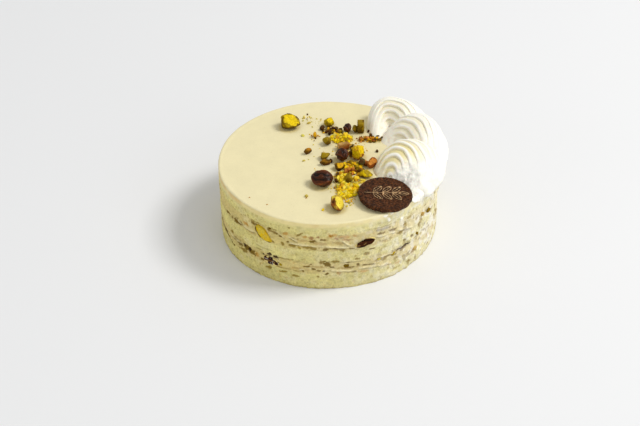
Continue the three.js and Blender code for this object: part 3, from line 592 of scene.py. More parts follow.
def form_of(grid, paint, start=None, end=None, tips=None):
    """A closed tube with the paint of its rows. Its two tips get the given colour, or else the mean
    paint of the end rows."""
    points, quads, triangles = closed_tube(grid, start, end)
    if tips is None:
        tips = (paint[0].mean(0), paint[-1].mean(0))
    return points, quads, triangles, np.concatenate([paint.reshape(-1, 3), np.broadcast_to(tips, (2, 3))])


def volume_of(points, quads, triangles):
    """Signed volume: the sum over all triangles of the triple product of their corners over six."""
    corners = np.concatenate([quads[:, [0, 1, 2]], quads[:, [0, 2, 3]], triangles])
    a, b, c = (points[corners[:, n]] for n in range(3))
    return float((a * np.cross(b, c)).sum() / 6)


def add_piece(name, forms, material, slot, replaces=(), smooth=True):
    """Makes one mesh piece of closed forms, each of points in millimetres, quads, triangles and a
    colour for each point. A form whose signed volume is negative has its faces turned round."""
    points, colours, corners, sizes = [], [], [], []
    offset = 0
    for form_points, quads, triangles, form_colours in forms:
        if volume_of(form_points, quads, triangles) < 0:
            quads, triangles = quads[:, ::-1], triangles[:, ::-1]
        points.append(form_points)
        colours.append(np.broadcast_to(form_colours, (len(form_points), 3)))
        for faces in (quads, triangles):
            corners.append((faces + offset).ravel())
            sizes.append(np.full(len(faces), faces.shape[1]))
        offset += len(form_points)
    points = np.concatenate(points) * MM
    corners = np.concatenate(corners)
    sizes = np.concatenate(sizes)
    mesh = bpy.data.meshes.new(name)
    mesh.vertices.add(len(points))
    mesh.vertices.foreach_set("co", points.astype(np.float32).ravel())
    mesh.loops.add(len(corners))
    mesh.loops.foreach_set("vertex_index", corners.astype(np.int32))
    mesh.polygons.add(len(sizes))
    mesh.polygons.foreach_set("loop_start", (np.cumsum(sizes) - sizes).astype(np.int32))
    mesh.polygons.foreach_set("use_smooth", np.full(len(sizes), smooth))
    mesh.update(calc_edges=True)
    mesh.validate()
    paint = mesh.color_attributes.new(name="Paint", type="FLOAT_COLOR", domain="POINT")
    rgba = np.ones((len(points), 4), np.float32)
    rgba[:, :3] = np.clip(np.concatenate(colours), 0, 1)
    paint.data.foreach_set("color", rgba.ravel())
    piece = bpy.data.objects.new(name, mesh)
    bpy.context.scene.collection.objects.link(piece)
    mesh.materials.append(material)
    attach(piece, "root")
    if replaces:
        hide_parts(*replaces)


# ---------------------------------------------------------------- materials
class Recipe:
    """Adds nodes to one material that paints with the mesh's own colours."""

    def __init__(self, name, roughness):
        self.material = bpy.data.materials.new(name)
        self.material.use_nodes = True
        self.tree = self.material.node_tree
        self.shader = self.tree.nodes["Principled BSDF"]
        self.shader.inputs["Roughness"].default_value = roughness
        self.place = self.tree.nodes.new("ShaderNodeTexCoord").outputs["Object"]
        paint = self.tree.nodes.new("ShaderNodeAttribute")
        paint.attribute_name = "Paint"
        self.colour = paint.outputs["Color"]

    def add(self, kind, inputs=None, **settings):
        """Adds a node with its settings, and links or sets each of its inputs."""
        node = self.tree.nodes.new(kind)
        for key, value in settings.items():
            setattr(node, key, value)
        for key, value in (inputs or {}).items():
            if isinstance(value, bpy.types.NodeSocket):
                self.tree.links.new(value, node.inputs[key])
            else:
                node.inputs[key].default_value = value
        return node

    def noise(self, size, detail=3.0, rough=0.55):
        """Noise whose features are about as wide as size in millimetres."""
        inputs = {"Vector": self.place, "Scale": 1 / (size * MM), "Detail": detail, "Roughness": rough}
        return self.add("ShaderNodeTexNoise", inputs).outputs["Fac"]

    def cells(self, size):
        """Distance to the nearest cell's middle, with cells as wide as size in millimetres."""
        inputs = {"Vector": self.place, "Scale": 1 / (size * MM)}
        return self.add("ShaderNodeTexVoronoi", inputs).outputs["Distance"]

    def stretch(self, value, to_low, to_high, low=0.3, high=0.7):
        """The value carried from the range of low to high to another one and held inside it."""
        inputs = {"Value": value, "From Min": low, "From Max": high, "To Min": to_low, "To Max": to_high}
        return self.add("ShaderNodeMapRange", inputs).outputs["Result"]

    def sum(self, first, second):
        """The sum of two values."""
        return self.add("ShaderNodeMath", {0: first, 1: second}, operation="ADD").outputs[0]

    def tone(self, value, *ends):
        """Multiplies the colour by the value, stretched to the ends."""
        inputs = {0: self.colour, "Scale": self.stretch(value, *ends)}
        self.colour = self.add("ShaderNodeVectorMath", inputs, operation="SCALE").outputs["Vector"]

    def blend(self, code, value, *ends):
        """Mixes a colour into the paint by the value, stretched to the ends."""
        share = self.stretch(value, *ends)
        inputs = {"Factor": share, "A": self.colour, "B": (*linear(code), 1)}
        self.colour = self.add("ShaderNodeMix", inputs, data_type="RGBA").outputs["Result"]

    def bump(self, value, depth, strength):
        """Adds relief of a depth in millimetres to the shading."""
        inputs = {"Height": value, "Distance": depth * MM, "Strength": strength}
        self.relief = self.add("ShaderNodeBump", inputs).outputs["Normal"]

    def gloss(self, value, *ends):
        """Lets the value, stretched to the ends, steer the roughness."""
        self.tree.links.new(self.stretch(value, *ends), self.shader.inputs["Roughness"])

    def finish(self, **sockets):
        """Links the colour and the relief to the shader and sets its other sockets."""
        self.tree.links.new(self.colour, self.shader.inputs["Base Color"])
        self.tree.links.new(self.relief, self.shader.inputs["Normal"])
        for key, value in sockets.items():
            self.shader.inputs[key.replace("_", " ")].default_value = value
        return self.material


def sponge_crumb():
    """Cut sponge: a fine grain, small pits and a matt surface."""
    r = Recipe("sponge_crumb", 0.85)
    grain = r.noise(0.9, 6, 0.65)
    pits = r.noise(2.1, 4, 0.7)
    r.tone(grain, 0.82, 1.14)
    r.tone(pits, 0.89, 1.02, 0.34, 0.5)
    r.bump(r.sum(grain, pits), 0.5, 0.7)
    r.gloss(grain, 0.9, 0.75)
    return r.finish(Specular_IOR_Level=0.06)


def filling_cream():
    """Soft filling: faint grain with a slight shine."""
    r = Recipe("filling_cream", 0.62)
    grain = r.noise(1.1, 5, 0.6)
    r.tone(grain, 0.86, 1.1)
    r.bump(grain, 0.4, 0.6)
    r.gloss(r.noise(3, 2), 0.5, 0.75)
    return r.finish(Specular_IOR_Level=0.08)


def smooth_cream():
    """Smooth pistachio cream: a faint mottle and a few dark specks of nut flour."""
    r = Recipe("smooth_cream", 0.55)
    r.tone(r.noise(9, 3), 0.975, 1.02)
    r.tone(r.noise(0.8, 4, 0.6), 0.97, 1.025)
    r.blend("#b99c4c", r.cells(3.1), 0.45, 0.0, 0.05, 0.10)
    r.bump(r.noise(1.6, 4, 0.5), 0.12, 0.5)
    r.gloss(r.noise(6, 3), 0.45, 0.62)
    return r.finish(Specular_IOR_Level=0.35)


def piped_cream():
    """Whipped cream: a fine foam grain, soft light inside it."""
    r = Recipe("piped_cream", 0.5)
    r.tone(r.noise(2.2, 3), 0.985, 1.01)
    r.bump(r.noise(0.7, 4, 0.6), 0.16, 0.5)
    r.gloss(r.noise(3, 2), 0.42, 0.58)
    return r.finish(Subsurface_Weight=0.05, Subsurface_Scale=0.0015)


def dark_chocolate():
    """Moulded chocolate: a coarse matt grain with tiny light rubs."""
    r = Recipe("dark_chocolate", 0.5)
    grain = r.noise(1.5, 4, 0.65)
    r.tone(grain, 0.34, 1.95, 0.38, 0.64)
    r.blend("#7a573d", r.noise(1.2, 4), 0.0, 0.55, 0.56, 0.7)
    r.bump(r.sum(grain, r.noise(1.4, 4)), 0.45, 0.8)
    r.gloss(r.noise(1.3, 3), 0.42, 0.68)
    return r.finish(Specular_IOR_Level=0.10)


def nut_flesh():
    """Nut: fine mottle and scratches with a light oily shine."""
    r = Recipe("nut_flesh", 0.45)
    grain = r.noise(1.0, 5, 0.6)
    r.tone(grain, 0.8, 1.16)
    r.bump(r.sum(grain, r.cells(0.8)), 0.25, 0.5)
    r.gloss(r.noise(2, 3), 0.38, 0.6)
    return r.finish(Specular_IOR_Level=0.08)


def raisin_skin():
    """Raisin: tight wrinkles and a sticky shine."""
    r = Recipe("raisin_skin", 0.25)
    fold = r.noise(1.6, 4, 0.6)
    r.tone(fold, 0.6, 1.55)
    r.bump(fold, 0.6, 0.6)
    r.gloss(r.noise(1.4, 3), 0.18, 0.42)
    return r.finish(Specular_IOR_Level=0.16)


def cut_raisin():
    """Raisin cut by the knife: matt dark flesh with a faint grain."""
    r = Recipe("cut_raisin", 0.6)
    grain = r.noise(1.1, 4, 0.6)
    r.tone(grain, 0.6, 1.5)
    r.bump(grain, 0.4, 0.6)
    return r.finish(Specular_IOR_Level=0.05)


def material_of(recipe):
    """The material that a recipe makes, made when it is first asked for."""
    return bpy.data.materials.get(recipe.__name__) or recipe()


# ---------------------------------------------------------------- layers
def wobble(angle, k):
    """Three sines of the angle, added and scaled to about -1 to 1: the waves of a layer's face."""
    waves = np.sin(3 * angle + 1.7 * k) + 0.7 * np.sin(5 * angle + 2.3 * k) + 0.5 * np.sin(11 * angle + k)
    return waves / 2.2


def face_height(k, angle):
    """Height of a layer's upper face at its side: its top, its waves, and a finer noise along the
    side. The underside and the top of the cake are level."""
    if k < 0:
        return np.zeros_like(angle)
    _, top, wave = LAYERS[k]
    rim = round_points(CAKE_RADIUS, angle, np.full_like(angle, 40.0 * k))
    fine = 0.42 * soft_noise(rim, 6.5, 31 + k) + 0.26 * soft_noise(rim, 2.6, 41 + k)
    return top + wave * wobble(angle, k) + fine * (wave > 0)


def crumb_relief(points):
    """How far a cut crumb stands out in millimetres: soft noise of 7, 2.4 and 1.1 mm, less a round
    pit wherever a seed of a 2.3 mm lattice draws one. Also gives the depth of the pits."""
    nearest, number = cell_noise(points, 2.3, 21)
    pit = np.clip(1 - nearest / 0.5, 0, 1) * (number > 0.55)
    swell = 0.35 * soft_noise(points, 7, 22)
    grain = 0.42 * soft_noise(points, 2.4, 23) + 0.28 * soft_noise(points, 1.1, 24)
    return swell + grain - 0.9 * pit, pit


def lip_shares(angle, z):
    """How strongly the smears stand out at each place, and how strong the crease under them is,
    which is dented and darkened as painted shade. Each smear is a bell across its own sloping line,
    which wanders and thins with noise and fades out at both ends; a mirrored set runs round the back."""
    proud = np.zeros_like(z)
    crease = np.zeros_like(z)
    base = round_points(CAKE_RADIUS, angle, 0.35 * z)
    wander = 0.55 * soft_noise(base, 5, 94) + 0.3 * soft_noise(base, 2, 95)
    body = 0.35 + 0.65 * ramp(soft_noise(base, 3.2, 96), -0.55, 0.35)
    mirrored = [(-at - MIRROR_SHIFT, *rest) for at, *rest in LIPS]
    for at, half, height, slope, tall, relief in (*LIPS, *mirrored):
        along = turned_from(np.degrees(angle), at)
        line = height + slope * along + wander
        fade = ramp(np.abs(along), half, 0.55 * half) * body
        thickness = 0.72 * tall * (0.7 + 0.4 * body)
        proud = np.maximum(proud, relief * fade * bell(z - line, thickness))
        crease = np.maximum(crease, fade * bell(z - line + 1.5 * thickness, 0.5))
    return proud, crease


def filling_share(angle, z):
    """How much of each place on the side is filling: 1 between the faces of a filling and 0 in the
    sponges, blended over about a millimetre and frayed by noise of 2 mm."""
    frayed = z + 0.7 * soft_noise(round_points(CAKE_RADIUS, angle, z), 2.0, 51)
    share = np.zeros_like(z)
    for k in (1, 3):
        low, high = face_height(k - 1, angle), face_height(k, angle)
        above, below = ramp(frayed, low - 0.6, low + 0.6), ramp(frayed, high + 0.6, high - 0.6)
        share = np.maximum(share, above * below)
    return share


def blotch_shares(angle, z):
    """How strongly each kind of blotch covers each place. A blotch is a bell over its own sloping
    oval, broken up by noise of 2.4 and 1 mm; a mirrored set runs round the back."""
    base = round_points(CAKE_RADIUS, angle, z)
    torn = 0.45 * soft_noise(base, 2.4, 91) + 0.65 * soft_noise(base, 0.95, 92)
    shares = {kind: np.zeros_like(z) for kind in BLOTCHES}
    for kind, rows in BLOTCHES.items():
        copied = [(-at - MIRROR_SHIFT, *rest, -slope) for at, *rest, slope in rows if at > FIRST_COPIED]
        for at, height, half, tall, slope in (*rows, *copied):
            turn = math.radians(slope)
            along = np.radians(turned_from(np.degrees(angle), at)) * CAKE_RADIUS
            up = z - height
            u = (along * math.cos(turn) + up * math.sin(turn)) / half
            v = (up * math.cos(turn) - along * math.sin(turn)) / tall
            share = ramp(np.exp(-0.7 * (u * u + v * v)) + 0.5 * torn, 0.34, 0.74)
            shares[kind] = np.maximum(shares[kind], share * (u * u + v * v < 6))
    return shares


def seam_stains(angle, z, base, fine, lumps):
    """Syrupy lines along the seams, each with its kind: a bell across the line, kept in patches by
    noise of 4 mm along it and torn by the finer noises."""
    for k, offset, width, kind in SEAM_LINES:
        line = bell(z - face_height(k, angle) - offset, width)
        patchy = ramp(soft_noise(base * np.array([0.6, 0.6, 1]), 4.0, 97 + k), 0.0, 0.6)
        yield kind, 0.9 * (ramp(line * patchy + 0.35 * fine + 0.2 * lumps, 0.35, 0.9) * line)


def side_fields(angle, z):
    """What both the shape and the colour of the side come from: shares of filling, top cream,
    smears, blotches and of the torn right side, and noises on the plain round of the cake."""
    base = round_points(CAKE_RADIUS, angle, z)
    long = base * np.array([0.2, 0.2, 1.0])
    f = SimpleNamespace(base=base, foot=np.exp(-z / 1.2))
    f.filling = filling_share(angle, z)
    f.cream = ramp(z + 0.8 * soft_noise(base, 5, 74), CAKE_HEIGHT - 4.8, CAKE_HEIGHT - 2.4)
    f.crumb, f.pit = crumb_relief(base)
    f.smear = soft_noise(long, 1.4, 71) + 0.5 * soft_noise(long, 0.8, 72)
    f.fine = soft_noise(base, 1.2, 73)
    f.lumps = soft_noise(base, 2.6, 76)
    f.coarse = 0.6 + 0.6 * ramp(soft_noise(base, 17, 78), -0.5, 0.5)
    f.right = bell(turned_from(np.degrees(angle), -22), 50)
    f.proud, f.crease = lip_shares(angle, z)
    f.blotch = blotch = blotch_shares(angle, z)
    f.hollow = sum(share * blotch[kind] for kind, share in HOLLOWS.items())
    for kind, stain in seam_stains(angle, z, base, f.fine, f.lumps):
        blotch[kind] = np.maximum(blotch[kind], stain)
    return f


def side_radius(angle, z, f, sizes):
    """Radius of the side: the cake's slow waves and a bulge high on the right; the crumb's relief,
    softer in the filling and the top cream; long smears from noise stretched along the side; swells
    on the right; the standing smears and drops; dents under smears and in the blotches."""
    bulge = bell(turned_from(np.degrees(angle), -12), 21) * ramp(z, 33, 47) * ramp(z, 55.5, 51)
    radius = 1.9 * bulge + CAKE_RADIUS + 0.25 * np.sin(3 * angle + 1) + 0.2 * np.sin(7 * angle + 2)
    calm = 1 - 0.8 * np.clip(f.proud, 0, 1)
    rough = sizes.crumb_relief / MM * f.crumb * f.coarse * (1 - 0.35 * f.filling) * (1 - 0.7 * f.cream)
    radius = radius + rough * calm + 0.25 * f.smear * f.filling * calm + 0.12 * f.smear * f.cream
    radius = radius + 0.9 * f.right * ramp(soft_noise(f.base, 4.5, 79), 0.1, 0.7) * (1 - f.cream)
    dent = sizes.seam_depth / MM * np.maximum(f.crease, f.hollow) * calm
    return radius + 0.9 * f.proud + 0.6 * f.blotch["white"] - dent - 0.45 * f.foot


def side_paint(angle, z, f, colours):
    """Colour of the side: crumb or filling, shaded by noise and streaks; pits with painted shade in
    them, flecks of nut, and paler paint as painted light where the crumbs stand out; blotches, smears
    and painted shade in the creases under them; the scraped side of the top cream, gold in patches
    and more on the left as painted shade; on the right a pale, torn coat of cream with brown clefts,
    which also paints the brighter light on that side; white drops; and a darker foot."""
    base, fine, lumps, bare = f.base, f.fine, f.lumps, 1 - f.cream
    streaks = 0.09 * soft_noise(base * np.array([0.32, 0.32, 1]), 2.0, 62)
    shade = 1 + 0.09 * soft_noise(base, 9, 61) + 0.10 * fine + 0.06 * lumps + streaks
    shade = shade - 0.05 * ramp(z, 14, 9)
    paint = mix(colours.sponge, colours.filling, f.filling) * shade[..., None]
    paint = mix(paint, colours.lip, 0.5 * ramp(soft_noise(base, 6, 64), 0.1, 0.8) * bare)
    # Painted shade: darker in the pits of the crumb.
    paint = mix(paint, colours.sponge_pit, 0.4 * np.clip(1.5 * f.pit, 0, 1) * bare * f.coarse)
    speck = ramp(0.6 * fine + 0.5 * soft_noise(base, 0.9, 77) + 0.3 * lumps, 0.35, 0.75) * bare
    paint = mix(paint, colours.olive, 0.3 * speck * f.coarse)
    # Painted light: paler where the crumbs stand out.
    paint = mix(paint, colours.lip, 0.6 * ramp(f.crumb, 0.3, 0.75) * (1 - f.filling) * bare)
    nearest, number = cell_noise(base, 2.7, 63)
    fleck = ramp(nearest, 0.42, 0.20) * bare
    paint = mix(paint, colours.ochre, 0.3 * fleck * (number > 0.86))
    paint = mix(paint, colours.green, 0.3 * fleck * (number < 0.12))
    for kind, (name, cover) in BLOTCH_COLOURS.items():
        paint = mix(paint, getattr(colours, name), cover * f.blotch[kind])
    paint = mix(paint, np.array(colours.brown) * 0.45, 0.96 * f.blotch["dark"])
    # Painted shade in the creases under the smears.
    paint = mix(paint, colours.husk, 0.6 * np.clip(f.crease, 0, 1))
    paint = mix(paint, np.array(colours.lip) * 1.06, np.clip(1.15 * f.proud, 0, 0.9))
    scraped = np.array(colours.cream_side) * (1 + 0.05 * f.smear + 0.03 * fine)[..., None]
    # Gold in patches, and more on the left, away from the lamps, as painted shade.
    golden_and_shade = ramp(soft_noise(base, 9, 66) + 0.8 * ramp(np.cos(angle), -0.1, -0.8), 0.1, 0.9)
    paint = mix(paint, mix(scraped, colours.cream_gold, 0.8 * golden_and_shade), f.cream)
    # A pale coat of cream on the right, which also paints the brighter light on this side, turned to the
    # lamps.
    pale = f.right * (0.36 + 0.46 * ramp(lumps, -0.1, 0.5)) * (1 - 0.8 * np.clip(f.hollow, 0, 1))
    paint = mix(paint, np.array(colours.whipped_cream) * 0.88, pale)
    cleft = f.right * ramp(soft_noise(base, 2.9, 80) + 0.4 * fine, 0.34, 0.72) * ramp(z, 50, 44)
    paint = mix(paint, colours.seam, 0.7 * cleft)
    paint = mix(paint, colours.whipped_cream, 0.9 * f.blotch["white"])
    return mix(paint, colours.seam, 0.7 * f.foot * ramp(lumps, -0.9, 0.5))


def side_look(angle, z, sizes, colours):
    """Radius and colour of the cut side at each angle and height."""
    f = side_fields(angle, z)
    return side_radius(angle, z, f, sizes), side_paint(angle, z, f, colours)


def layer_form(k, sizes, colours):
    """One sponge or filling: a closed form turned about the centre line, whose side runs from the
    face below it to its own upper face in even rows and takes the side's radius and colour."""
    step = sizes.mesh_step / MM
    angle = even_turns(int(2 * math.pi * CAKE_RADIUS / step))
    height = LAYERS[k][1] - (LAYERS[k - 1][1] if k else 0)
    low, high = face_height(k - 1, angle), face_height(k, angle)
    z = low + (high - low) * np.linspace(0, 1, int(height / step) + 2)[:, None]
    turned = np.broadcast_to(angle, z.shape)
    radius, paint = side_look(turned, z, sizes, colours)
    grid = round_points(radius, turned, z)
    return form_of(grid, paint, (0, 0, low.mean()), (0, 0, high.mean()), colours.filling)


def dust_share(points):
    """How much nut dust and oil, and painted shade under and round the crumbs and toppings, tint the top:
    a bell over each heap of crumbs and a narrow one round the foot of each nut and raisin, broken up
    a little by noise of 2 mm."""
    x, y = points[..., 0], points[..., 1]
    share = np.zeros(points.shape[:-1])
    for at, reach, _, _, _, heap, _ in CRUMB_PATCHES:
        out = ((x - at[0]) / reach[0]) ** 2 + ((y - at[1]) / reach[1]) ** 2
        share = np.maximum(share, 0.9 * min(1.0, heap) * np.exp(-0.95 * out**1.5))
    for _, at, size, *_ in TOPPINGS.values():
        out = np.hypot(x - at[0] + 0.8, y - at[1]) - 0.42 * max(size[:2])
        share = np.maximum(share, 0.45 * bell(np.clip(out, 0, None), 1.7))
    return share * (1 + 0.3 * soft_noise(points, 2, 87))


def top_cream_form(sizes, colours):
    """The top cream: a closed turned form. Its side has the side's look, its upper edge is a
    quarter round of the edge's radius, and its top is level but for soft noise of 26 and 7 mm and
    a low bead along the edge."""
    angle = even_turns(int(2 * math.pi * CAKE_RADIUS / (1.3 * sizes.mesh_step / MM)))
    low = face_height(len(LAYERS) - 2, angle)
    side_rows, edge_rows, top_rows = CREAM_ROWS
    z = low + (CAKE_HEIGHT - CREAM_EDGE - low) * np.linspace(0, 1, side_rows)[:, None]
    turned = np.broadcast_to(angle, z.shape)
    side_radii, side_colours = side_look(turned, z, sizes, colours)
    turn = np.linspace(0, math.pi / 2, edge_rows)[1:, None]
    edge_radii = side_radii[-1] - CREAM_EDGE * (1 - np.cos(turn))
    edge_z = CAKE_HEIGHT - CREAM_EDGE * (1 - np.sin(turn)) + 0 * edge_radii
    inner_radii = (side_radii[-1] - CREAM_EDGE) * np.linspace(1, 0, top_rows)[1:-1, None]
    radii = np.concatenate([edge_radii, inner_radii])
    z_top = np.concatenate([edge_z, np.full_like(inner_radii, CAKE_HEIGHT)])
    turned_top = np.broadcast_to(angle, radii.shape)
    base = round_points(radii, turned_top, z_top)
    inward = ramp(radii, 3, 10) * ramp(z_top, CAKE_HEIGHT - 1, CAKE_HEIGHT)
    broad = 0.10 * soft_noise(base, 26, 81) + 0.05 * soft_noise(base, 7, 82)
    bead = 0.25 * bell(CAKE_RADIUS - 1.7 - radii, 1.0) * (1 + 0.7 * soft_noise(base, 6, 83))
    z_top = z_top + broad * inward + bead
    cream = np.array(colours.pistachio_cream) * (1 + 0.015 * soft_noise(base, 14, 86))[..., None]
    # Nut dust and oil, and painted shade, round the crumbs and toppings.
    cream = mix(cream, colours.oil, dust_share(base))
    cream = mix(side_colours[-1], cream, ramp(z_top, CAKE_HEIGHT - 0.9, CAKE_HEIGHT - 0.1))
    grid = np.concatenate([round_points(side_radii, turned, z), round_points(radii, turned_top, z_top)])
    paint = np.concatenate([side_colours, cream])
    return form_of(grid, paint, (0, 0, low.mean()), (0, 0, CAKE_HEIGHT), colours.pistachio_cream)


# ---------------------------------------------------------------- nuts, raisins and broken bits
def oval_rows(rows, around):
    """A round ball about the X axis in rows spaced by equal turns from one tip to the other: the
    share along the axis from -1 to 1, the ring's share of the width, the angle about the axis, and
    the points."""
    turn = np.linspace(0, math.pi, rows + 2)[1:-1, None]
    about = even_turns(around) + np.zeros_like(turn)
    x, ring = -np.cos(turn) + np.zeros_like(about), np.sin(turn) + np.zeros_like(about)
    return x, ring, about, np.stack([x, ring * np.cos(about), ring * np.sin(about)], -1)


def upright_ball(rows, around):
    """The points of the same ball about the vertical."""
    return np.roll(oval_rows(rows, around)[-1], -1, -1)


def kernel_grid(size, seed, rows=56, around=72):
    """A kernel: an egg that narrows toward one tip, with a slow swell, two seams along its length
    and wrinkles from noise of 2.6 and 1.1 mm. Half sizes multiply the unit egg."""
    x, _, about, unit = oval_rows(rows, around)
    swell = 1 + 0.09 * np.sin(3 * x + seed) * np.cos(2 * about + seed) - 0.15 * x
    seam = 1 - 0.12 * bell(about - 1.9, 0.14) - 0.08 * bell(about - 4.4, 0.2)
    points = unit * np.array(size) / 2
    wrinkle = 1 + 0.07 * soft_noise(points, 2.6, seed + 100) + 0.04 * soft_noise(points, 1.1, seed + 200)
    scale = swell * seam
    return points * np.stack([wrinkle, scale * wrinkle, scale * wrinkle], -1)


def broken_back(points, breaks, seed):
    """Breaks a form: beyond each plane every point is drawn straight back toward the middle until
    it lies on the plane, which noise of 1.4 mm roughens. Also gives how much is broken face."""
    factor = np.ones(points.shape[:-1])
    for turn, rise, share in breaks:
        turn, rise = math.radians(turn), math.radians(rise)
        facing = np.array([math.cos(turn) * math.cos(rise), math.sin(turn) * math.cos(rise), math.sin(rise)])
        height = points @ facing
        level = share * height.max() * (1 + 0.10 * soft_noise(points, 1.4, seed + 250))
        factor = np.minimum(factor, level / np.maximum(height, level))
    return points * factor[..., None], ramp(1 - factor, 0.0, 0.06)


def raisin_grid(size, seed, rows=70, around=96):
    """A raisin: an egg with three broad and six narrow folds that wander as they run along it, one
    deep crease in its upper side, and fine wrinkles, the square root of the size of a sine bent by
    noise. Also gives how deep in a fold each point lies, below 0 on the ridges."""
    x, ring, about, unit = oval_rows(rows, around)
    points = unit * np.array(size) / 2
    bend = soft_noise(points, 3.8, seed + 300)
    wander = about + 0.5 * np.sin(2.2 * x + seed) + 0.35 * bend
    fold = 0.07 * np.cos(3 * wander + seed) + 0.08 * np.cos(6 * wander + 0.8 * seed)
    crease = bell(wander - 1.3, 0.22) * ramp(np.abs(x), 0.85, 0.5)
    fine = np.sqrt(np.abs(np.sin(6 * wander + 1.5 * x + seed)))
    fold = fold + 0.06 * (fine - 0.75) * ring - 0.16 * crease + 0.05 * bend
    folded = ramp(fold, 0.0, -0.16) - ramp(fold, 0.07, 0.15)
    return points * np.stack([1 + 0.05 * bend, 1 + fold, 1 + fold], -1), folded


def broken_grid(size, seed, planes, rows=34, around=44, sharp=14.0):
    """A broken piece: along each direction the surface lies where the first of some cutting planes
    is met. The planes are blended by the sum of their nearness to the given power, which rounds
    the edges a little, and noise of 1.6 and 0.8 mm roughens the faces."""
    unit = upright_ball(rows, around)
    facing = np.clip(np.einsum("rak,pk->rap", unit, planes[:, :3]) / planes[:, 3], 0.02, None)
    reach = (facing**sharp).sum(-1) ** (-1 / sharp)
    points = unit * reach[..., None] * np.array(size) / 2
    rough = 1 + 0.06 * soft_noise(points, 1.6, seed + 400) + 0.03 * soft_noise(points, 0.8, seed + 500)
    flat = ramp((facing**sharp).max(-1) / (facing**sharp).sum(-1), 0.75, 0.95)
    return points * rough[..., None], flat


def chunk_planes(draw, count=11):
    """Cutting planes for a broken bit: directions by equal turns of 2.4 radians up a ball, each
    a little shaken, at distances from 0.72 to 0.98."""
    level = np.linspace(-0.85, 0.85, count) + draw.uniform(-0.1, 0.1, count)
    about = np.arange(count) * 2.4 + draw.uniform(0, 0.9, count)
    ring = np.sqrt(1 - level**2)
    distance = draw.uniform(0.72, 0.98, count)
    return np.stack([ring * np.cos(about), ring * np.sin(about), level, distance], -1)


def slab_planes(draw):
    """Cutting planes for a block: the six sides of a box, each tilted a little."""
    sides = np.concatenate([np.eye(3), -np.eye(3)]) + draw.uniform(-0.12, 0.12, (6, 3))
    sides /= np.linalg.norm(sides, axis=1)[:, None]
    return np.concatenate([sides, draw.uniform(0.84, 0.95, (6, 1))], 1)


def set_down(grid, at, turn, lean, z):
    """Leans a piece about its length, turns it about the vertical, and sets its lowest point at a
    height."""
    turned = grid @ turn_matrix("X", lean).T @ turn_matrix("Z", turn).T
    return turned + np.array([at[0], at[1], z - turned[..., 2].min()])


def nut_paint(points, colours, names, seed, broken=0.0):
    """Colour of a nut: its skin, paler toward the crown as painted light, has patches where noise of
    2.4 mm is high, its broken faces take the flesh's colour, small specks of the patches lie over both,
    a thin toasted line rims the broken faces, and all darkens toward the foot as painted shade."""
    flesh, skin, patch = (np.array(getattr(colours, name)) for name in names)
    rise = (points[..., 2] - points[..., 2].min()) / np.ptp(points[..., 2])
    cloud = soft_noise(points, 3.5, seed + 600)
    # Painted light: the skin turns to the flesh's colour toward the crown.
    paint = mix(skin, flesh, 0.6 * ramp(0.9 * (rise - 0.6) + 0.8 * cloud, -0.2, 0.5))
    patchy = soft_noise(points, 2.4, seed + 700) + 0.6 * (0.5 - rise)
    paint = mix(paint, patch, 0.75 * ramp(patchy, 0.1, 0.5))
    face = flesh * (1.02 + 0.12 * soft_noise(points, 1.5, seed + 650) + 0.12 * cloud)[..., None]
    paint = mix(paint, face, 0.92 * broken)
    paint = mix(paint, patch, 0.45 * ramp(soft_noise(points, 1.3, seed + 720), 0.42, 0.68))
    rim = bell(broken - 0.45, 0.3) * ramp(soft_noise(points, 3, seed + 750), -0.6, 0.1)
    paint = mix(paint, patch, 0.65 * rim)
    # Painted shade: all darkens toward the foot in the patches' colour.
    paint = mix(paint, patch, 0.85 * ramp(rise + 0.12 * cloud, 0.5, 0.1))
    return paint * (1 + 0.12 * soft_noise(points, 0.9, seed + 800))[..., None]


def topping_form(name, index, colours):
    """One nut, raisin or broken piece, set down on the top of the cake. A kernel is first chipped
    by seven shallow breaks and then broken where its row says."""
    kind, at, size, turn, lean, names, breaks = TOPPINGS[name]
    draw = np.random.default_rng(50 + index)
    z = CAKE_HEIGHT + 0.1
    if kind == "raisin":
        grid, folded = raisin_grid(size, index + 1)
        grid = set_down(grid, at, turn, lean, z)
        # Painted shade in the folds, and a painted highlight in red-brown on the ridges.
        paint = mix(colours.raisin, colours.prune, np.clip(folded, 0, 1))
        return form_of(grid, mix(paint, colours.rust, 0.34 * np.clip(-folded, 0, 1)))
    if kind == "kernel":
        grid = kernel_grid(size, index + 1) @ turn_matrix("X", lean).T @ turn_matrix("Z", turn).T
        turns = np.arange(CHIPS) * 137 + 40 * index
        chips = np.stack([turns, draw.uniform(-25, 65, CHIPS), draw.uniform(0.72, 0.88, CHIPS)], -1)
        grid, _ = broken_back(grid, chips, index + 20)
        grid, broken = broken_back(grid, breaks, index)
        grid = set_down(grid, at, 0, 0, z)
    else:
        planes = slab_planes(draw) if kind == "slab" else chunk_planes(draw)
        grid, flat = broken_grid(size, index, planes)
        broken = flat * ramp(soft_noise(grid, 5, index + 980), -0.3, 0.1)
        grid = set_down(grid, at, turn, lean, z)
    return form_of(grid, nut_paint(grid, colours, names, index, broken))


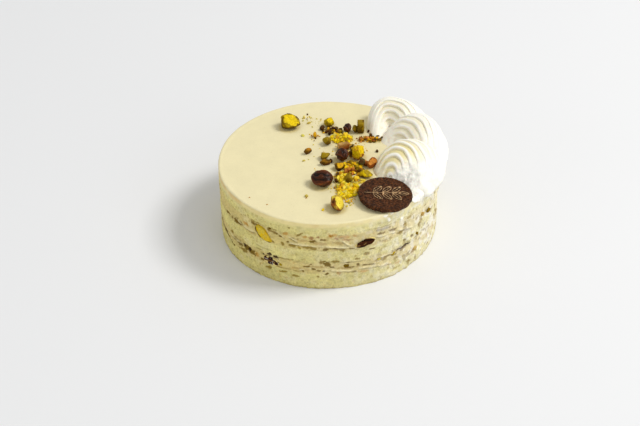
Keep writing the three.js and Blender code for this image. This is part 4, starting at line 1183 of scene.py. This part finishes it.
def crumb_forms(places, sizes, kinds, colours, seed, rows=3, around=5):
    """Many small broken bits as one form: each is a ball of few points whose reach along every
    direction is cut by six planes of its own, stretched to its size, turned and set in its place.
    All bits are worked out together as whole arrays."""
    draw = np.random.default_rng(seed)
    count = len(places)
    unit, quads, triangles = closed_tube(upright_ball(rows, around), (0, 0, -1), (0, 0, 1))
    planes = draw.normal(size=(count, 6, 3))
    planes /= np.linalg.norm(planes, axis=2)[..., None]
    distance = draw.uniform(0.55, 0.95, (count, 1, 6))
    facing = np.clip(np.einsum("mk,npk->nmp", unit, planes) / distance, 0.05, None)
    reach = np.clip((facing**9).sum(-1) ** (-1 / 9), 0.5, 1.25)
    stretch = sizes[:, None] / 2 * draw.uniform((0.9, 0.55, 0.4), (1.4, 0.9, 0.8), (count, 3))
    points = unit[None] * reach[..., None] * stretch[:, None]
    turn, tip = draw.uniform(0, 2 * math.pi, count), draw.uniform(-0.5, 0.5, count)
    x0, y0, z0 = points[..., 0], points[..., 1], points[..., 2]
    x1 = x0 * np.cos(tip)[:, None] + z0 * np.sin(tip)[:, None]
    z1 = z0 * np.cos(tip)[:, None] - x0 * np.sin(tip)[:, None]
    x2 = x1 * np.cos(turn)[:, None] - y0 * np.sin(turn)[:, None]
    y2 = x1 * np.sin(turn)[:, None] + y0 * np.cos(turn)[:, None]
    points = np.stack([x2, y2, z1 - z1.min(1)[:, None]], -1) + places[:, None]
    step = (np.arange(count) * len(unit))[:, None, None]
    base = np.array([getattr(colours, kind) for kind in kinds])
    shade = draw.uniform(0.9, 1.14, (count, 1)) * draw.uniform(0.96, 1.04, (count, 3))
    paint = np.repeat(base * shade, len(unit), 0)
    return points.reshape(-1, 3), (quads + step).reshape(-1, 4), (triangles + step).reshape(-1, 3), paint


def heap_of(patch, draw, share):
    """Places, sizes and kinds of one patch of crumbs: draws over an oval, a little denser at its
    middle, sizes that favour the small, and heights up to the heap's own bell."""
    at, reach, count, small, large, heap, kinds = patch
    count = int(count * share)
    about, out = draw.uniform(0, 2 * math.pi, count), draw.uniform(0, 1, count) ** 0.6
    x = at[0] + reach[0] * out * np.cos(about)
    y = at[1] + reach[1] * out * np.sin(about)
    size = small + (large - small) * draw.uniform(0, 1, count) ** 2.2
    z = CAKE_HEIGHT - CRUMB_SINK * size + heap * np.exp(-1.6 * out**2) * draw.uniform(0, 1, count) ** 1.3
    names = np.array(kinds)[draw.integers(0, len(kinds), count)]
    return np.stack([x, y, z], -1), size, names


def off_toppings(places, sizes):
    """Which crumbs lie clear of the disc and outside the middles of the larger toppings."""
    clear = np.hypot(places[:, 0] - DISC_AT[0], places[:, 1] - DISC_AT[1]) > DISC_RADIUS + sizes / 2
    for _, at, size, *_ in TOPPINGS.values():
        clear &= np.hypot(places[:, 0] - at[0], places[:, 1] - at[1]) > 0.32 * max(size[:2])
    return clear & (np.hypot(places[:, 0], places[:, 1]) < CAKE_RADIUS - 3)


def scattered_crumbs(draw, share):
    """Places, sizes and kinds of all the crumbs in patches and alone that lie clear."""
    drawn = [heap_of(patch, draw, share) for patch in CRUMB_PATCHES]
    x, y, size, kind = zip(*LONE_CRUMBS)
    alone = np.stack([x, y, CAKE_HEIGHT - CRUMB_SINK * np.array(size)], -1)
    places, sizes, kinds = (np.concatenate(parts) for parts in zip(*drawn, (alone, size, kind)))
    clear = off_toppings(places, sizes)
    return places[clear], sizes[clear], kinds[clear]


def chopped_bit_forms(colours, draw):
    """The chopped bits: each is a broken block with eleven cut faces, sunk a little into the top."""
    forms = []
    for index, (at, size, turn, kind) in enumerate(BITS):
        grid, _ = broken_grid(size, 40 + index, chunk_planes(draw), 20, 26, 10)
        grid = set_down(grid, at, turn, 0, CAKE_HEIGHT - 0.3)
        broken = 0.8 * ramp(soft_noise(grid, 3, 990 + index), 0.0, 0.3)
        forms.append(form_of(grid, nut_paint(grid, colours, BIT_COLOURS[kind], 40 + index, broken)))
    return forms


# ---------------------------------------------------------------- pieces in the side
def side_frame(angle, slope):
    """Axes of a piece in the side: along the side and sloping, into the cake, and up."""
    return turn_matrix("Z", angle + 90) @ turn_matrix("Y", -slope)


def cut_raisin_paint(grid, local, folded, out, torn, colours):
    """Colour of a cut raisin: dark flesh, darker in the folds, with a pale streak, and filling
    smeared over its outer part. A torn one is frayed more deeply and dusted with sugar."""
    paint = mix(colours.raisin, colours.prune, np.clip(0.4 + 0.6 * folded, 0, 1))
    streak = ramp(np.abs(local[..., 2] - 0.5 * np.sin(local[..., 0] * 0.7)), 0.5, 0.15)
    paint = mix(paint, colours.pale, 0.4 * streak * (soft_noise(grid, 2.5, 902) > 0.1))
    if not torn:
        return mix(paint, colours.filling, ramp(out + 0.21 * soft_noise(grid, 3.0, 905), 0.98, 1.06))
    sugar = ramp(soft_noise(grid, 1.3, 906), 0.25, 0.6)
    paint = mix(paint, np.array(colours.cream_grey) * 0.8, 0.6 * sugar)
    return mix(paint, colours.filling, ramp(out + 0.75 * soft_noise(grid, 2.0, 905), 0.86, 1.0))


def cut_kernel_paint(grid, local, out, colours):
    """Colour of a cut pistachio: mottled yellow flesh with a brown skin round it, heavier below."""
    below = ramp(local[..., 2], 0.8, -1.6)
    paint = mix(colours.gold, colours.yellow, 0.6 + 0.4 * soft_noise(grid, 3, 903))
    paint = mix(paint, colours.pistache, 0.5 * ramp(soft_noise(grid, 1.8, 904), -0.4, 0.4))
    return mix(paint, colours.husk, ramp(out, 0.66, 0.86) * (0.25 + 0.75 * below))


def side_piece_form(name, colours):
    """A nut or raisin cut through by the cake's side: the whole piece, with every point that would
    stand out of the side drawn back to it, so that its cut face is flush and slightly rough."""
    angle, height, (length, tall, depth), slope = SIDE_PIECES[name]
    raisin = name.startswith("raisin")
    if raisin:
        grid, folded = raisin_grid((length, depth, tall), 3)
    else:
        grid = kernel_grid((length, depth, tall), 3, 60, 80)
    at = round_points(CAKE_RADIUS - 1.5, math.radians(angle), height)
    grid = grid @ side_frame(angle, slope).T + at
    limit = CAKE_RADIUS + 0.85 + 0.25 * soft_noise(grid, 1.5, 901)
    factor = np.minimum(1, limit / np.hypot(grid[..., 0], grid[..., 1]))
    grid = grid * np.stack([factor, factor, np.ones_like(factor)], -1)
    local = (grid - at) @ side_frame(angle, slope)
    out = np.hypot(local[..., 0] / (length / 2), local[..., 2] / (tall / 2))
    if raisin:
        return form_of(grid, cut_raisin_paint(grid, local, folded, out, "lower" in name, colours))
    return form_of(grid, cut_kernel_paint(grid, local, out, colours))


def side_bit_forms(colours, seed):
    """The bits of nut in the side: each is a broken block with eleven cut faces, as long and tall
    as its row says, sunk until about a fifth of its depth stands out, moved out where the right
    side bulges, and bent to the round of the side. The back gets the same bits mirrored and a
    little shifted."""
    draw = np.random.default_rng(seed)
    mirrored = [
        (-angle + draw.uniform(-6, 6), z + draw.uniform(-0.8, 0.8), length, tall, -slope, kind)
        for angle, z, length, tall, slope, kind in SIDE_BITS
    ]
    forms = []
    for index, (angle, z, length, tall, slope, kind) in enumerate([*SIDE_BITS, *mirrored]):
        depth = 0.7 * tall + 0.8
        grid, _ = broken_grid((length, depth, tall), index, chunk_planes(draw), 14, 18, 10)
        middle = CAKE_RADIUS - 0.28 * depth + 1.7 * math.exp(-(((angle + 15) / 22) ** 2))
        turn = math.radians(angle)
        grid = grid @ side_frame(angle, slope).T
        along = grid @ np.array([-math.sin(turn), math.cos(turn), 0])
        inward = round_points(1.0, turn, 0.0) * (along**2 / (2 * CAKE_RADIUS))[..., None]
        grid = grid + round_points(middle, turn, z) - inward
        base = np.array(getattr(colours, kind)) * draw.uniform(0.85, 1.15)
        paint = base * (1 + 0.18 * soft_noise(grid, 1.3, 910 + index))[..., None]
        edge = ramp(soft_noise(grid, 1.8, 990 + index), 0.2, 0.7)
        forms.append(form_of(grid, mix(paint, colours.filling, 0.35 * edge)))
    return forms


# ---------------------------------------------------------------- chocolate disc
def leaf_height(x, y, at, degrees, length, width):
    """Relief of one leaf, from 0 to 1: a low plate inside a pointed oval, a raised edge line and a
    raised midrib with faint side veins each way."""
    turn = math.radians(degrees)
    along = (x - at[0]) * math.cos(turn) + (y - at[1]) * math.sin(turn)
    across = -(x - at[0]) * math.sin(turn) + (y - at[1]) * math.cos(turn)
    u = along / (length / 2)
    half = width / 2 * np.clip(1 - u**2, 0, 1) ** 0.8
    inside = ramp(np.abs(across) - half, 0.10, -0.10) * (np.abs(u) < 1)
    edge = bell(np.abs(across) - half, 0.24) * (np.abs(u) < 1.02)
    rib = bell(across, 0.2) * (np.abs(u) < 1)
    vein = bell(np.sin(math.pi * (2.2 * u - 1.2 * np.abs(across))), 0.35)
    return np.clip(0.22 * inside + 0.78 * edge + 0.62 * rib + 0.16 * vein * inside, 0, 1)


def sprig_height(x, y):
    """Relief of the sprig: a gently curved stem, three pairs of leaves and one at its tip."""
    x, y = x / SPRIG_SCALE, y / SPRIG_SCALE
    total = 0.9 * bell(y - 0.25 * np.sin(x * 0.25), 0.3) * ramp(np.abs(x + 2.0), 7.9, 7.5)
    for pair in range(3):
        along = -3.5 + 4.3 * pair
        for side in (1, -1):
            total = np.maximum(total, leaf_height(x, y, (along, 2.55 * side), 48 * side, 5.9, 2.7))
    return np.maximum(total, leaf_height(x, y, (8.4, 0), 0, 5.0, 2.5))


def disc_rows(angle):
    """Radius and height of each ring of the disc, from the middle of its underside round its edge,
    which has a quarter round below and above and ripples toward the front, to its middle."""
    front = np.maximum(0, -np.sin(angle))
    ripple = 0.14 * np.sin(5 * angle + 1) + 0.34 * front * np.sin(15 * angle + 2 * np.sin(3 * angle))
    under = DISC_RADIUS - 0.9
    rows = [(0.5 * under + 0 * angle, 0.0), (under + ripple, 0.0)]
    for turn in np.linspace(-math.pi / 2, 0, 6)[1:]:
        radius = DISC_RADIUS - DISC_EDGE * (1 - math.cos(turn)) + 0.8 * ripple
        rows.append((radius, DISC_EDGE * (1 + math.sin(turn))))
    for share in np.linspace(0, 1, 5)[1:-1]:
        rows.append((DISC_RADIUS + 0.7 * ripple, DISC_EDGE + (DISC_THICKNESS - 2 * DISC_EDGE) * share))
    for turn in np.linspace(0, math.pi / 2, 6):
        radius = DISC_RADIUS - DISC_EDGE * (1 - math.cos(turn)) + 0.5 * ripple * math.cos(turn)
        rows.append((radius, DISC_THICKNESS - DISC_EDGE * (1 - math.sin(turn))))
    for share in np.linspace(1, 0, DISC_MESH[1])[1:-1]:
        rows.append(((DISC_RADIUS - DISC_EDGE) * share + 0 * angle, DISC_THICKNESS))
    return np.stack([radius for radius, _ in rows]), np.stack([height + 0 * angle for _, height in rows])


def disc_form(sizes, colours):
    """The chocolate disc: a closed turned form with a grainy top, a low rim and the sprig's relief,
    tilted and laid on the cake. Its relief gets a painted highlight, with a painted shadow round it."""
    angle = even_turns(DISC_MESH[0])
    radii, z = disc_rows(angle)
    turned = np.broadcast_to(angle, radii.shape)
    flat = round_points(radii, turned, z)
    top = ramp(z, DISC_THICKNESS - 0.3, DISC_THICKNESS - 0.02)
    sprig = sprig_height(flat[..., 0], flat[..., 1]) * top
    sprig = np.clip(sprig * (1 + 0.35 * soft_noise(flat, 0.8, 951)), 0, 1.2)
    grain = soft_noise(flat, 0.75, 952) + 0.6 * soft_noise(flat, 1.7, 953)
    rim = 0.22 * ramp(radii, DISC_RADIUS - 3.2, DISC_RADIUS - 1.2)
    radii = radii + (1 - top) * 0.12 * grain * ramp(z, 0.0, 0.3)
    z = z + top * (0.07 * grain + sprig * sizes.disc_relief / MM + rim)
    paint = np.array(colours.chocolate) * (1 + 0.55 * grain)[..., None]
    # Painted shadow: a dark line round the foot of the relief.
    paint = paint * (1 - 0.5 * ramp(sprig, 0.02, 0.15) * ramp(sprig, 0.5, 0.3))[..., None]
    # Painted highlight: light on the raised lines of the relief.
    relief_glint = ramp(sprig, 0.4, 0.75) * np.clip(0.8 + 0.3 * grain, 0, 1)
    paint = mix(paint, colours.chocolate_line, relief_glint)
    middle = (0, 0, DISC_THICKNESS + 0.3 * sizes.disc_relief / MM)
    form = form_of(round_points(radii, turned, z), paint, (0, 0, 0), middle, colours.chocolate)
    points = form[0] @ (turn_matrix("Y", DISC_ROLL) @ turn_matrix("X", DISC_PITCH)).T
    lift = CAKE_HEIGHT + 0.2 - points[:, 2].min()
    return points + np.array([*DISC_AT, lift]), *form[1:]


# ---------------------------------------------------------------- swirls
def cubic(control, s):
    """A curve with four control points: their sum weighted by the cubes and products of s and of
    1 less s."""
    a, b, c, d = (np.array(point, float) for point in control)
    s = s[..., None]
    r = 1 - s
    return r**3 * a + 3 * s * r**2 * b + 3 * s**2 * r * c + s**3 * d


def swirl_surface(swirl, s, t):
    """The smooth mound: half way between the foot lines, less a soft power of the cosine of t
    times their half distance, plus a power of the sine of t times the rise to the crown."""
    left, crown, right = (cubic(swirl[line], s) for line in ("left", "crown", "right"))
    middle, half = (left + right) / 2, (right - left) / 2
    c = np.cos(math.pi * t)
    across = -np.sign(c) * np.abs(c) ** swirl["shoulder"]
    up = np.clip(np.sin(math.pi * t), 0, 1) ** swirl["roundness"]
    return middle + across[..., None] * half + up[..., None] * (crown - middle)


def clear_of_disc(points):
    """Points over the chocolate disc are drawn straight out to just past its edge."""
    offset = points[..., :2] - np.array(DISC_AT)
    distance = np.linalg.norm(offset, axis=-1)
    reach = DISC_RADIUS + 0.25
    factor = np.where(distance < reach, reach / np.maximum(distance, 1e-6), 1.0)
    moved = points.copy()
    moved[..., :2] = np.array(DISC_AT) + offset * factor[..., None]
    return moved


def rib_profile(turns):
    """Height of the ribs from 0 in the crease to 1 on the crest, and how much painted shade each place
    gets. From the crease the inner face climbs steeply, a quarter ellipse over 0.25 of the rib, and the
    outer face falls slowly to the next crease. The crease and a broad band down the outer face, which
    turns down and away from the lamps, get painted yellow shade, and the crest stays white."""
    u = turns - np.floor(turns)
    inner = np.sqrt(np.clip(1 - ((0.25 - u) / 0.25) ** 2, 0, 1))
    outer = np.clip(1 - (np.clip(u - 0.25, 0, 1) / 0.75) ** 1.7, 0, 1)
    band = ramp(u, 0.30, 0.56) * (1 - 0.35 * ramp(u, 0.85, 1.0))
    return np.where(u < 0.25, inner, outer), np.where(u < 0.2, 0.65 * ramp(u, 0.14, 0.0), band)


def swirl_form(name, sizes, colours):
    """A piped swirl: rows of arches from the eye to the tail. Each arch is pushed out along the
    normal by ribs that lap over one another with sharp creases between them, and closed under the
    cake's top edge. Low noise makes the ribs and the outline uneven, and the right foot lumpy. The
    front swirl has deeper ribs and a torn patch by the disc, where they give way to rough cream."""
    swirl, front = SWIRLS[name], name == "swirl_front"
    along, across = SWIRL_MESH
    s = np.linspace(0, 1, along + 1)[:, None] + np.zeros((1, across + 1))
    t = np.linspace(0, 1, across + 1)[None, :] + np.zeros((along + 1, 1))
    smooth = swirl_surface(swirl, s, t)
    normal = np.cross(np.gradient(smooth, axis=1), np.gradient(smooth, axis=0))
    normal /= np.maximum(np.linalg.norm(normal, axis=-1), 1e-9)[..., None]
    fade = np.minimum(1, np.minimum(9 * s, 5 * (1 - s)))
    arch = np.clip(np.sin(math.pi * t), 0, 1) ** 0.35
    drift = 0.20 * soft_noise(smooth, 14, 401) + 0.06 * soft_noise(smooth, 4.5, 402)
    crest, yellow = rib_profile(RIBS * s + RIB_START + drift * fade)
    shown = ramp(t, 0.03, 0.22) * ramp(t, 0.86, 0.58) * (1 - 0.7 * ramp(s, 0.46, 0.64))
    if not front:
        shown = shown * ramp(t, 0.12, 0.34) * (1 - 0.85 * ramp(s, 0.40, 0.56) * ramp(t, 0.70, 0.35))
    torn = front * bell(np.linalg.norm((smooth - np.array(TORN_AT)) / np.array(TORN_HALF), axis=-1), 1)
    rough = soft_noise(smooth + 500, 2.2, 403) + 0.6 * soft_noise(smooth + 500, 1.1, 404)
    lumps = soft_noise(smooth, 3.4, 407)
    relief = sizes.rib_relief / MM * (1.0 if front else 0.82)
    lift = relief * fade * arch * (2 * crest - 1) * (0.12 + 0.88 * shown)
    lift = lift * (1 - 0.85 * torn) + 0.05 * rough + 0.38 * torn * rough
    lift = lift + (0.25 + 0.95 * ramp(t, 0.55, 0.8)) * soft_noise(smooth, 7, 405)
    lift = lift + 0.6 * ramp(t, 0.58, 0.8) * lumps
    surface = smooth + normal * (lift * ramp(s, 0, 0.02))[..., None]
    surface[..., 2] += CAKE_HEIGHT
    # Painted shade: yellow in the creases and down the rib faces turned from the lamps.
    crease_shade = yellow * fade * arch * shown * (1 - 0.9 * torn)
    # Painted shade: grey in the low places of the torn patch.
    grey = torn * ramp(rough, 0.3, -0.6)
    # Painted shade: yellow on the swirl's left side, away from the lamps.
    left_shade = ramp(t, 0.36, 0.12) * ramp(s, 0.02, 0.2)
    # Painted shade: grey in the low lumps of the right foot.
    right_hollow_shade = ramp(t, 0.72, 0.9) * ramp(lumps, 0.1, -0.5)
    # Ochre at the low left foot: stain of crumbs, and painted shade where the swirl meets the top.
    foot = ramp(surface[..., 2], CAKE_HEIGHT + 7, CAKE_HEIGHT) * ramp(t, 0.45, 0.2)
    foot_stain_and_shade = foot * ramp(soft_noise(smooth, 2.2, 406), 0.0, 0.6)
    paint = mix(colours.whipped_cream, colours.cream_crease, (0.9 if front else 0.42) * crease_shade)
    paint = mix(paint, colours.cream_grey, 0.55 * grey)
    paint = mix(paint, colours.cream_crease, (0.4 if front else 0.15) * left_shade)
    paint = mix(paint, colours.cream_grey, 0.3 * right_hollow_shade)
    paint = mix(paint, colours.ochre, (0.55 if name == "swirl_back" else 0.25) * foot_stain_and_shade)
    feet = np.concatenate([surface[:, -1:], surface[:, :1]], axis=1)
    feet[..., 2] = CAKE_HEIGHT - CREAM_HANG
    grid = clear_of_disc(np.concatenate([surface, feet], axis=1))
    return form_of(grid, np.concatenate([paint, paint[:, -1:], paint[:, :1]], axis=1))


def smear_form(colours):
    """The smear of cream beside the disc: a thin rounded sheet, streaked by noise stretched along
    its run, which lies on the top and bends down over the cake's edge round a small arc."""
    unit = upright_ball(90, 130)
    square = unit / (np.abs(unit) ** 3).sum(-1, keepdims=True) ** (1 / 3)
    flat = square * np.array(SMEAR["half"])
    ragged = 0.6 * soft_noise(flat * np.array([1, 1, 0]), 3.0, 502)
    flat = flat + unit * np.array([1, 1, 0]) * ragged[..., None]
    streak = soft_noise(flat * np.array([0.25, 1.0, 0.25]), 1.3, 501)
    run = flat[..., 0] + 0.22 * flat[..., 1] + SMEAR["at"]
    height = flat[..., 2] + 0.45 * streak * ramp(unit[..., 2], -0.2, 0.4)
    bend = SMEAR["bend"]
    turn = np.clip(run / bend, 0, math.pi / 2)
    beyond = np.clip(run - bend * math.pi / 2, 0, None)
    radius = SMEAR["rim"] - bend + np.minimum(run, 0) + (bend + height) * np.sin(turn)
    z = CAKE_HEIGHT + 0.9 - bend * (1 - np.cos(turn)) + height * np.cos(turn) - beyond
    points = np.stack([radius, flat[..., 1], z], -1) @ turn_matrix("Z", SMEAR["angle"]).T
    # Painted shade: grey in the grooves between the streaks.
    paint = mix(colours.whipped_cream, colours.cream_grey, 0.5 * ramp(streak, 0, -0.8))
    return form_of(clear_of_disc(points), paint)


# ---------------------------------------------------------------- operators
class Builder:
    """Shared by the operators: the sizes and colours of the scene."""

    bl_options = {"REGISTER", "UNDO"}

    @property
    def sizes(self):
        return bpy.context.scene.cake_sizes

    @property
    def colours(self):
        return bpy.context.scene.cake_colours


class CAKE_OT_layers(Builder, bpy.types.Operator):
    """Makes the three sponges and the two fillings with their cut side"""

    bl_idname = "cake.layers"
    bl_label = "Sponges and fillings"

    def execute(self, context):
        for k, (name, *_) in enumerate(LAYERS[:-1]):
            filling = name.startswith("filling")
            form = layer_form(k, self.sizes, self.colours)
            material = material_of(filling_cream if filling else sponge_crumb)
            add_piece(name + "_cut", [form], material, "filling" if filling else "sponge", [name])
        return {"FINISHED"}


class CAKE_OT_top_cream(Builder, bpy.types.Operator):
    """Makes the smooth top cream with its rounded edge"""

    bl_idname = "cake.top_cream"
    bl_label = "Top cream"

    def execute(self, context):
        form = top_cream_form(self.sizes, self.colours)
        add_piece("smooth_top", [form], material_of(smooth_cream), "pistachio_cream", ["top_cream"])
        return {"FINISHED"}


class CAKE_OT_side_pieces(Builder, bpy.types.Operator):
    """Makes the nuts, raisins and bits that show in the cut side"""

    bl_idname = "cake.side_pieces"
    bl_label = "Nuts and raisins in the side"

    def execute(self, context):
        for name in SIDE_PIECES:
            raisin = name.startswith("raisin")
            material = material_of(cut_raisin if raisin else nut_flesh)
            form = side_piece_form(name, self.colours)
            add_piece(name + "_cut", [form], material, "raisin" if raisin else "pistachio", [name])
        forms = side_bit_forms(self.colours, self.sizes.seed + 3)
        add_piece("side_nut_bits", forms, material_of(nut_flesh), "roasted_nut")
        return {"FINISHED"}


class CAKE_OT_swirls(Builder, bpy.types.Operator):
    """Makes the three piped swirls and the smear beside the disc"""

    bl_idname = "cake.swirls"
    bl_label = "Piped swirls"

    def execute(self, context):
        material = material_of(piped_cream)
        for name in SWIRLS:
            form = swirl_form(name, self.sizes, self.colours)
            add_piece("piped_" + name, [form], material, "whipped_cream", [name])
        add_piece("cream_smear", [smear_form(self.colours)], material, "whipped_cream")
        return {"FINISHED"}


class CAKE_OT_chocolate_disc(Builder, bpy.types.Operator):
    """Makes the chocolate disc with its leaf sprig"""

    bl_idname = "cake.chocolate_disc"
    bl_label = "Chocolate disc"

    def execute(self, context):
        form = disc_form(self.sizes, self.colours)
        add_piece("moulded_disc", [form], material_of(dark_chocolate), "chocolate", ["chocolate_disc"])
        return {"FINISHED"}


class CAKE_OT_toppings(Builder, bpy.types.Operator):
    """Makes the whole and broken nuts and the raisins on the top"""

    bl_idname = "cake.toppings"
    bl_label = "Nuts and raisins on the top"

    def execute(self, context):
        for index, (name, topping) in enumerate(TOPPINGS.items()):
            flesh = topping[5][0]
            raisin = flesh == "raisin"
            slot = "roasted_nut" if flesh in ROASTED else "raisin" if raisin else "pistachio"
            material = material_of(raisin_skin if raisin else nut_flesh)
            form = topping_form(name, index, self.colours)
            add_piece(name + "_fine", [form], material, slot, [name])
        return {"FINISHED"}


class CAKE_OT_crumbs(Builder, bpy.types.Operator):
    """Scatters the chopped bits and the crumbs over the top"""

    bl_idname = "cake.crumbs"
    bl_label = "Crumbs"

    def execute(self, context):
        draw = np.random.default_rng(self.sizes.seed)
        forms = chopped_bit_forms(self.colours, draw)
        add_piece("chopped_bits", forms, material_of(nut_flesh), "pistachio")
        places, sizes, kinds = scattered_crumbs(draw, self.sizes.crumb_share)
        for name, slot, members in CRUMB_PIECES:
            forms = []
            for large, rows, around in ((True, 5, 8), (False, 3, 5)):
                own = np.isin(kinds, members) & ((sizes > LARGE_CRUMB) == large)
                crumbs = (places[own], sizes[own], kinds[own])
                forms.append(crumb_forms(*crumbs, self.colours, self.sizes.seed + own.sum(), rows, around))
            add_piece(name, forms, material_of(nut_flesh), slot, smooth=False)
        return {"FINISHED"}


class CAKE_OT_studio(Builder, bpy.types.Operator):
    """Makes the pale floor, the soft lights and the camera"""

    bl_idname = "cake.studio"
    bl_label = "Studio"

    def execute(self, context):
        add_floor()
        add_lights()
        add_camera()
        return {"FINISHED"}


# ---------------------------------------------------------------- studio
# Count of the floor's rings and of the steps round each, and the radii of its first and last ring
# in metres.
FLOOR_MESH = (24, 96)
FLOOR_REACH = (0.05, 6)
# Strength of the pale surround.
ROOM_STRENGTH = 0.56
# Soft lights: name, place and size in metres, power in watts and colour. All face the same point.
LIGHTS = (
    ("key", (1.8, 0.06, 2.33), 0.95, 50.0, (1.0, 0.985, 0.965)),
    ("right", (1.5, -1.7, 0.9), 1.6, 8.5, (1.0, 1.0, 1.0)),
    ("left", (-2.2, -1.2, 0.5), 1.6, 5.6, (1.0, 1.0, 1.0)),
)
LIT_POINT = (0, 0, 0.03)
# Place and angles in degrees of the camera, its lens and sensor in millimetres.
CAMERA_PLACE = (0.0, -0.8544, 0.6284)
CAMERA_TURN, CAMERA_DOWN, CAMERA_ROLL = -0.412, 35.979, -1.127
CAMERA_LENS, CAMERA_SENSOR = 81.47, 36


def matt_material(name, colour):
    """A plain matt material of one colour."""
    material = bpy.data.materials.new(name)
    material.use_nodes = True
    shader = material.node_tree.nodes["Principled BSDF"]
    shader.inputs["Base Color"].default_value = (*colour, 1)
    shader.inputs["Roughness"].default_value = 0.9
    shader.inputs["Specular IOR Level"].default_value = 0.1
    return material


def add_floor():
    """A level round floor under the cake, made of rings whose radii grow by a fixed ratio."""
    rings, around = FLOOR_MESH
    radii, here = np.geomspace(*FLOOR_REACH, rings), np.arange(around)
    ring, turn = np.meshgrid(radii, even_turns(around), indexing="ij")
    points = np.concatenate([round_points(ring, turn, 0 * ring).reshape(-1, 3), [[0, 0, 0]]])
    after = (here + 1) % around
    base = (np.arange(rings - 1) * around)[:, None]
    quads = np.stack([base + here, base + around + here, base + around + after, base + after], -1)
    fan = np.stack([np.full(around, len(points) - 1), here, after], -1)
    mesh = bpy.data.meshes.new("floor")
    mesh.from_pydata(points.tolist(), [], [*quads.reshape(-1, 4).tolist(), *fan.tolist()])
    mesh.materials.append(matt_material("floor_paper", linear("#e9eaeb")))
    floor = bpy.data.objects.new("floor", mesh)
    bpy.context.scene.collection.objects.link(floor)
    floor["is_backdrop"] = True


def add_light(name, place, size, power, colour):
    """A square area light at a place, turned to the lit point."""
    data = bpy.data.lights.new(name, "AREA")
    data.shape = "SQUARE"
    data.size, data.energy, data.color = size, power, colour
    light = bpy.data.objects.new(name, data)
    bpy.context.scene.collection.objects.link(light)
    back = np.array(place, float) - np.array(LIT_POINT, float)
    back /= np.linalg.norm(back)
    side = np.cross((0, 0, 1), back)
    side /= np.linalg.norm(side)
    axes = np.eye(4)
    axes[:3, 0], axes[:3, 1], axes[:3, 2], axes[:3, 3] = side, np.cross(back, side), back, place
    light.matrix_world = Matrix(axes.tolist())


def add_lights():
    """A pale surround, a soft key from the right, and weak broad lights from both front sides."""
    world = bpy.data.worlds.new("pale_room")
    bpy.context.scene.world = world
    world.use_nodes = True
    shade = world.node_tree.nodes["Background"]
    shade.inputs["Color"].default_value = (1.0, 1.0, 1.0, 1)
    shade.inputs["Strength"].default_value = ROOM_STRENGTH
    for light in LIGHTS:
        add_light(*light)
    bpy.context.scene.view_settings.view_transform = "Standard"


def add_camera():
    """A camera at the photograph's viewpoint: turned about the vertical, tipped down and rolled."""
    turn, down, roll = (math.radians(value) for value in (CAMERA_TURN, CAMERA_DOWN, CAMERA_ROLL))
    forward = np.array([math.sin(turn) * math.cos(down), math.cos(turn) * math.cos(down), -math.sin(down)])
    right = np.array([math.cos(turn), -math.sin(turn), 0])
    up = np.cross(right, forward)
    right = right * math.cos(roll) + up * math.sin(roll)
    axes = np.eye(4)
    axes[:3, 0], axes[:3, 1], axes[:3, 2] = right, np.cross(right, forward), -forward
    axes[:3, 3] = CAMERA_PLACE
    data = bpy.data.cameras.new("camera")
    data.lens, data.sensor_width, data.sensor_fit = CAMERA_LENS, CAMERA_SENSOR, "HORIZONTAL"
    data.clip_start, data.clip_end = 0.01, 50
    camera = bpy.data.objects.new("camera", data)
    bpy.context.scene.collection.objects.link(camera)
    camera.matrix_world = Matrix(axes.tolist())
    bpy.context.scene.camera = camera


# ---------------------------------------------------------------- add-on
OPERATORS = (
    CAKE_OT_studio,
    CAKE_OT_layers,
    CAKE_OT_top_cream,
    CAKE_OT_side_pieces,
    CAKE_OT_swirls,
    CAKE_OT_chocolate_disc,
    CAKE_OT_toppings,
    CAKE_OT_crumbs,
)


class CAKE_PT_parts(bpy.types.Panel):
    """Lists the parts of the cake, its sizes and its colours"""

    bl_idname = "CAKE_PT_parts"
    bl_label = "Pistachio Cake"
    bl_space_type = "VIEW_3D"
    bl_region_type = "UI"
    bl_category = "Cake"

    def draw(self, context):
        layout = self.layout
        for operator in OPERATORS:
            layout.operator(operator.bl_idname)
        for group in (context.scene.cake_sizes, context.scene.cake_colours):
            column = layout.column()
            for name in group.__annotations__:
                column.prop(group, name)


CLASSES = (CakeSizes, CakeColours, *OPERATORS, CAKE_PT_parts)


def register():
    for cls in CLASSES:
        bpy.utils.register_class(cls)
    bpy.types.Scene.cake_sizes = PointerProperty(type=CakeSizes)
    bpy.types.Scene.cake_colours = PointerProperty(type=CakeColours)


def unregister():
    del bpy.types.Scene.cake_colours
    del bpy.types.Scene.cake_sizes
    for cls in reversed(CLASSES):
        bpy.utils.unregister_class(cls)


def write_sizes():
    """Works out the solids' box and the dressed cake's box, in metres, as plain lists."""
    boxes = {"cad": CAD_BOX, "visual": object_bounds()}
    plain = {name: [list(corner) for corner in box] for name, box in boxes.items()}


def main():
    register()
    bpy.ops.cake.studio()
    bpy.ops.cake.layers()
    bpy.ops.cake.top_cream()
    bpy.ops.cake.side_pieces()
    bpy.ops.cake.swirls()
    bpy.ops.cake.chocolate_disc()
    bpy.ops.cake.toppings()
    bpy.ops.cake.crumbs()
    write_sizes()


if __name__ == "__main__":
    main()
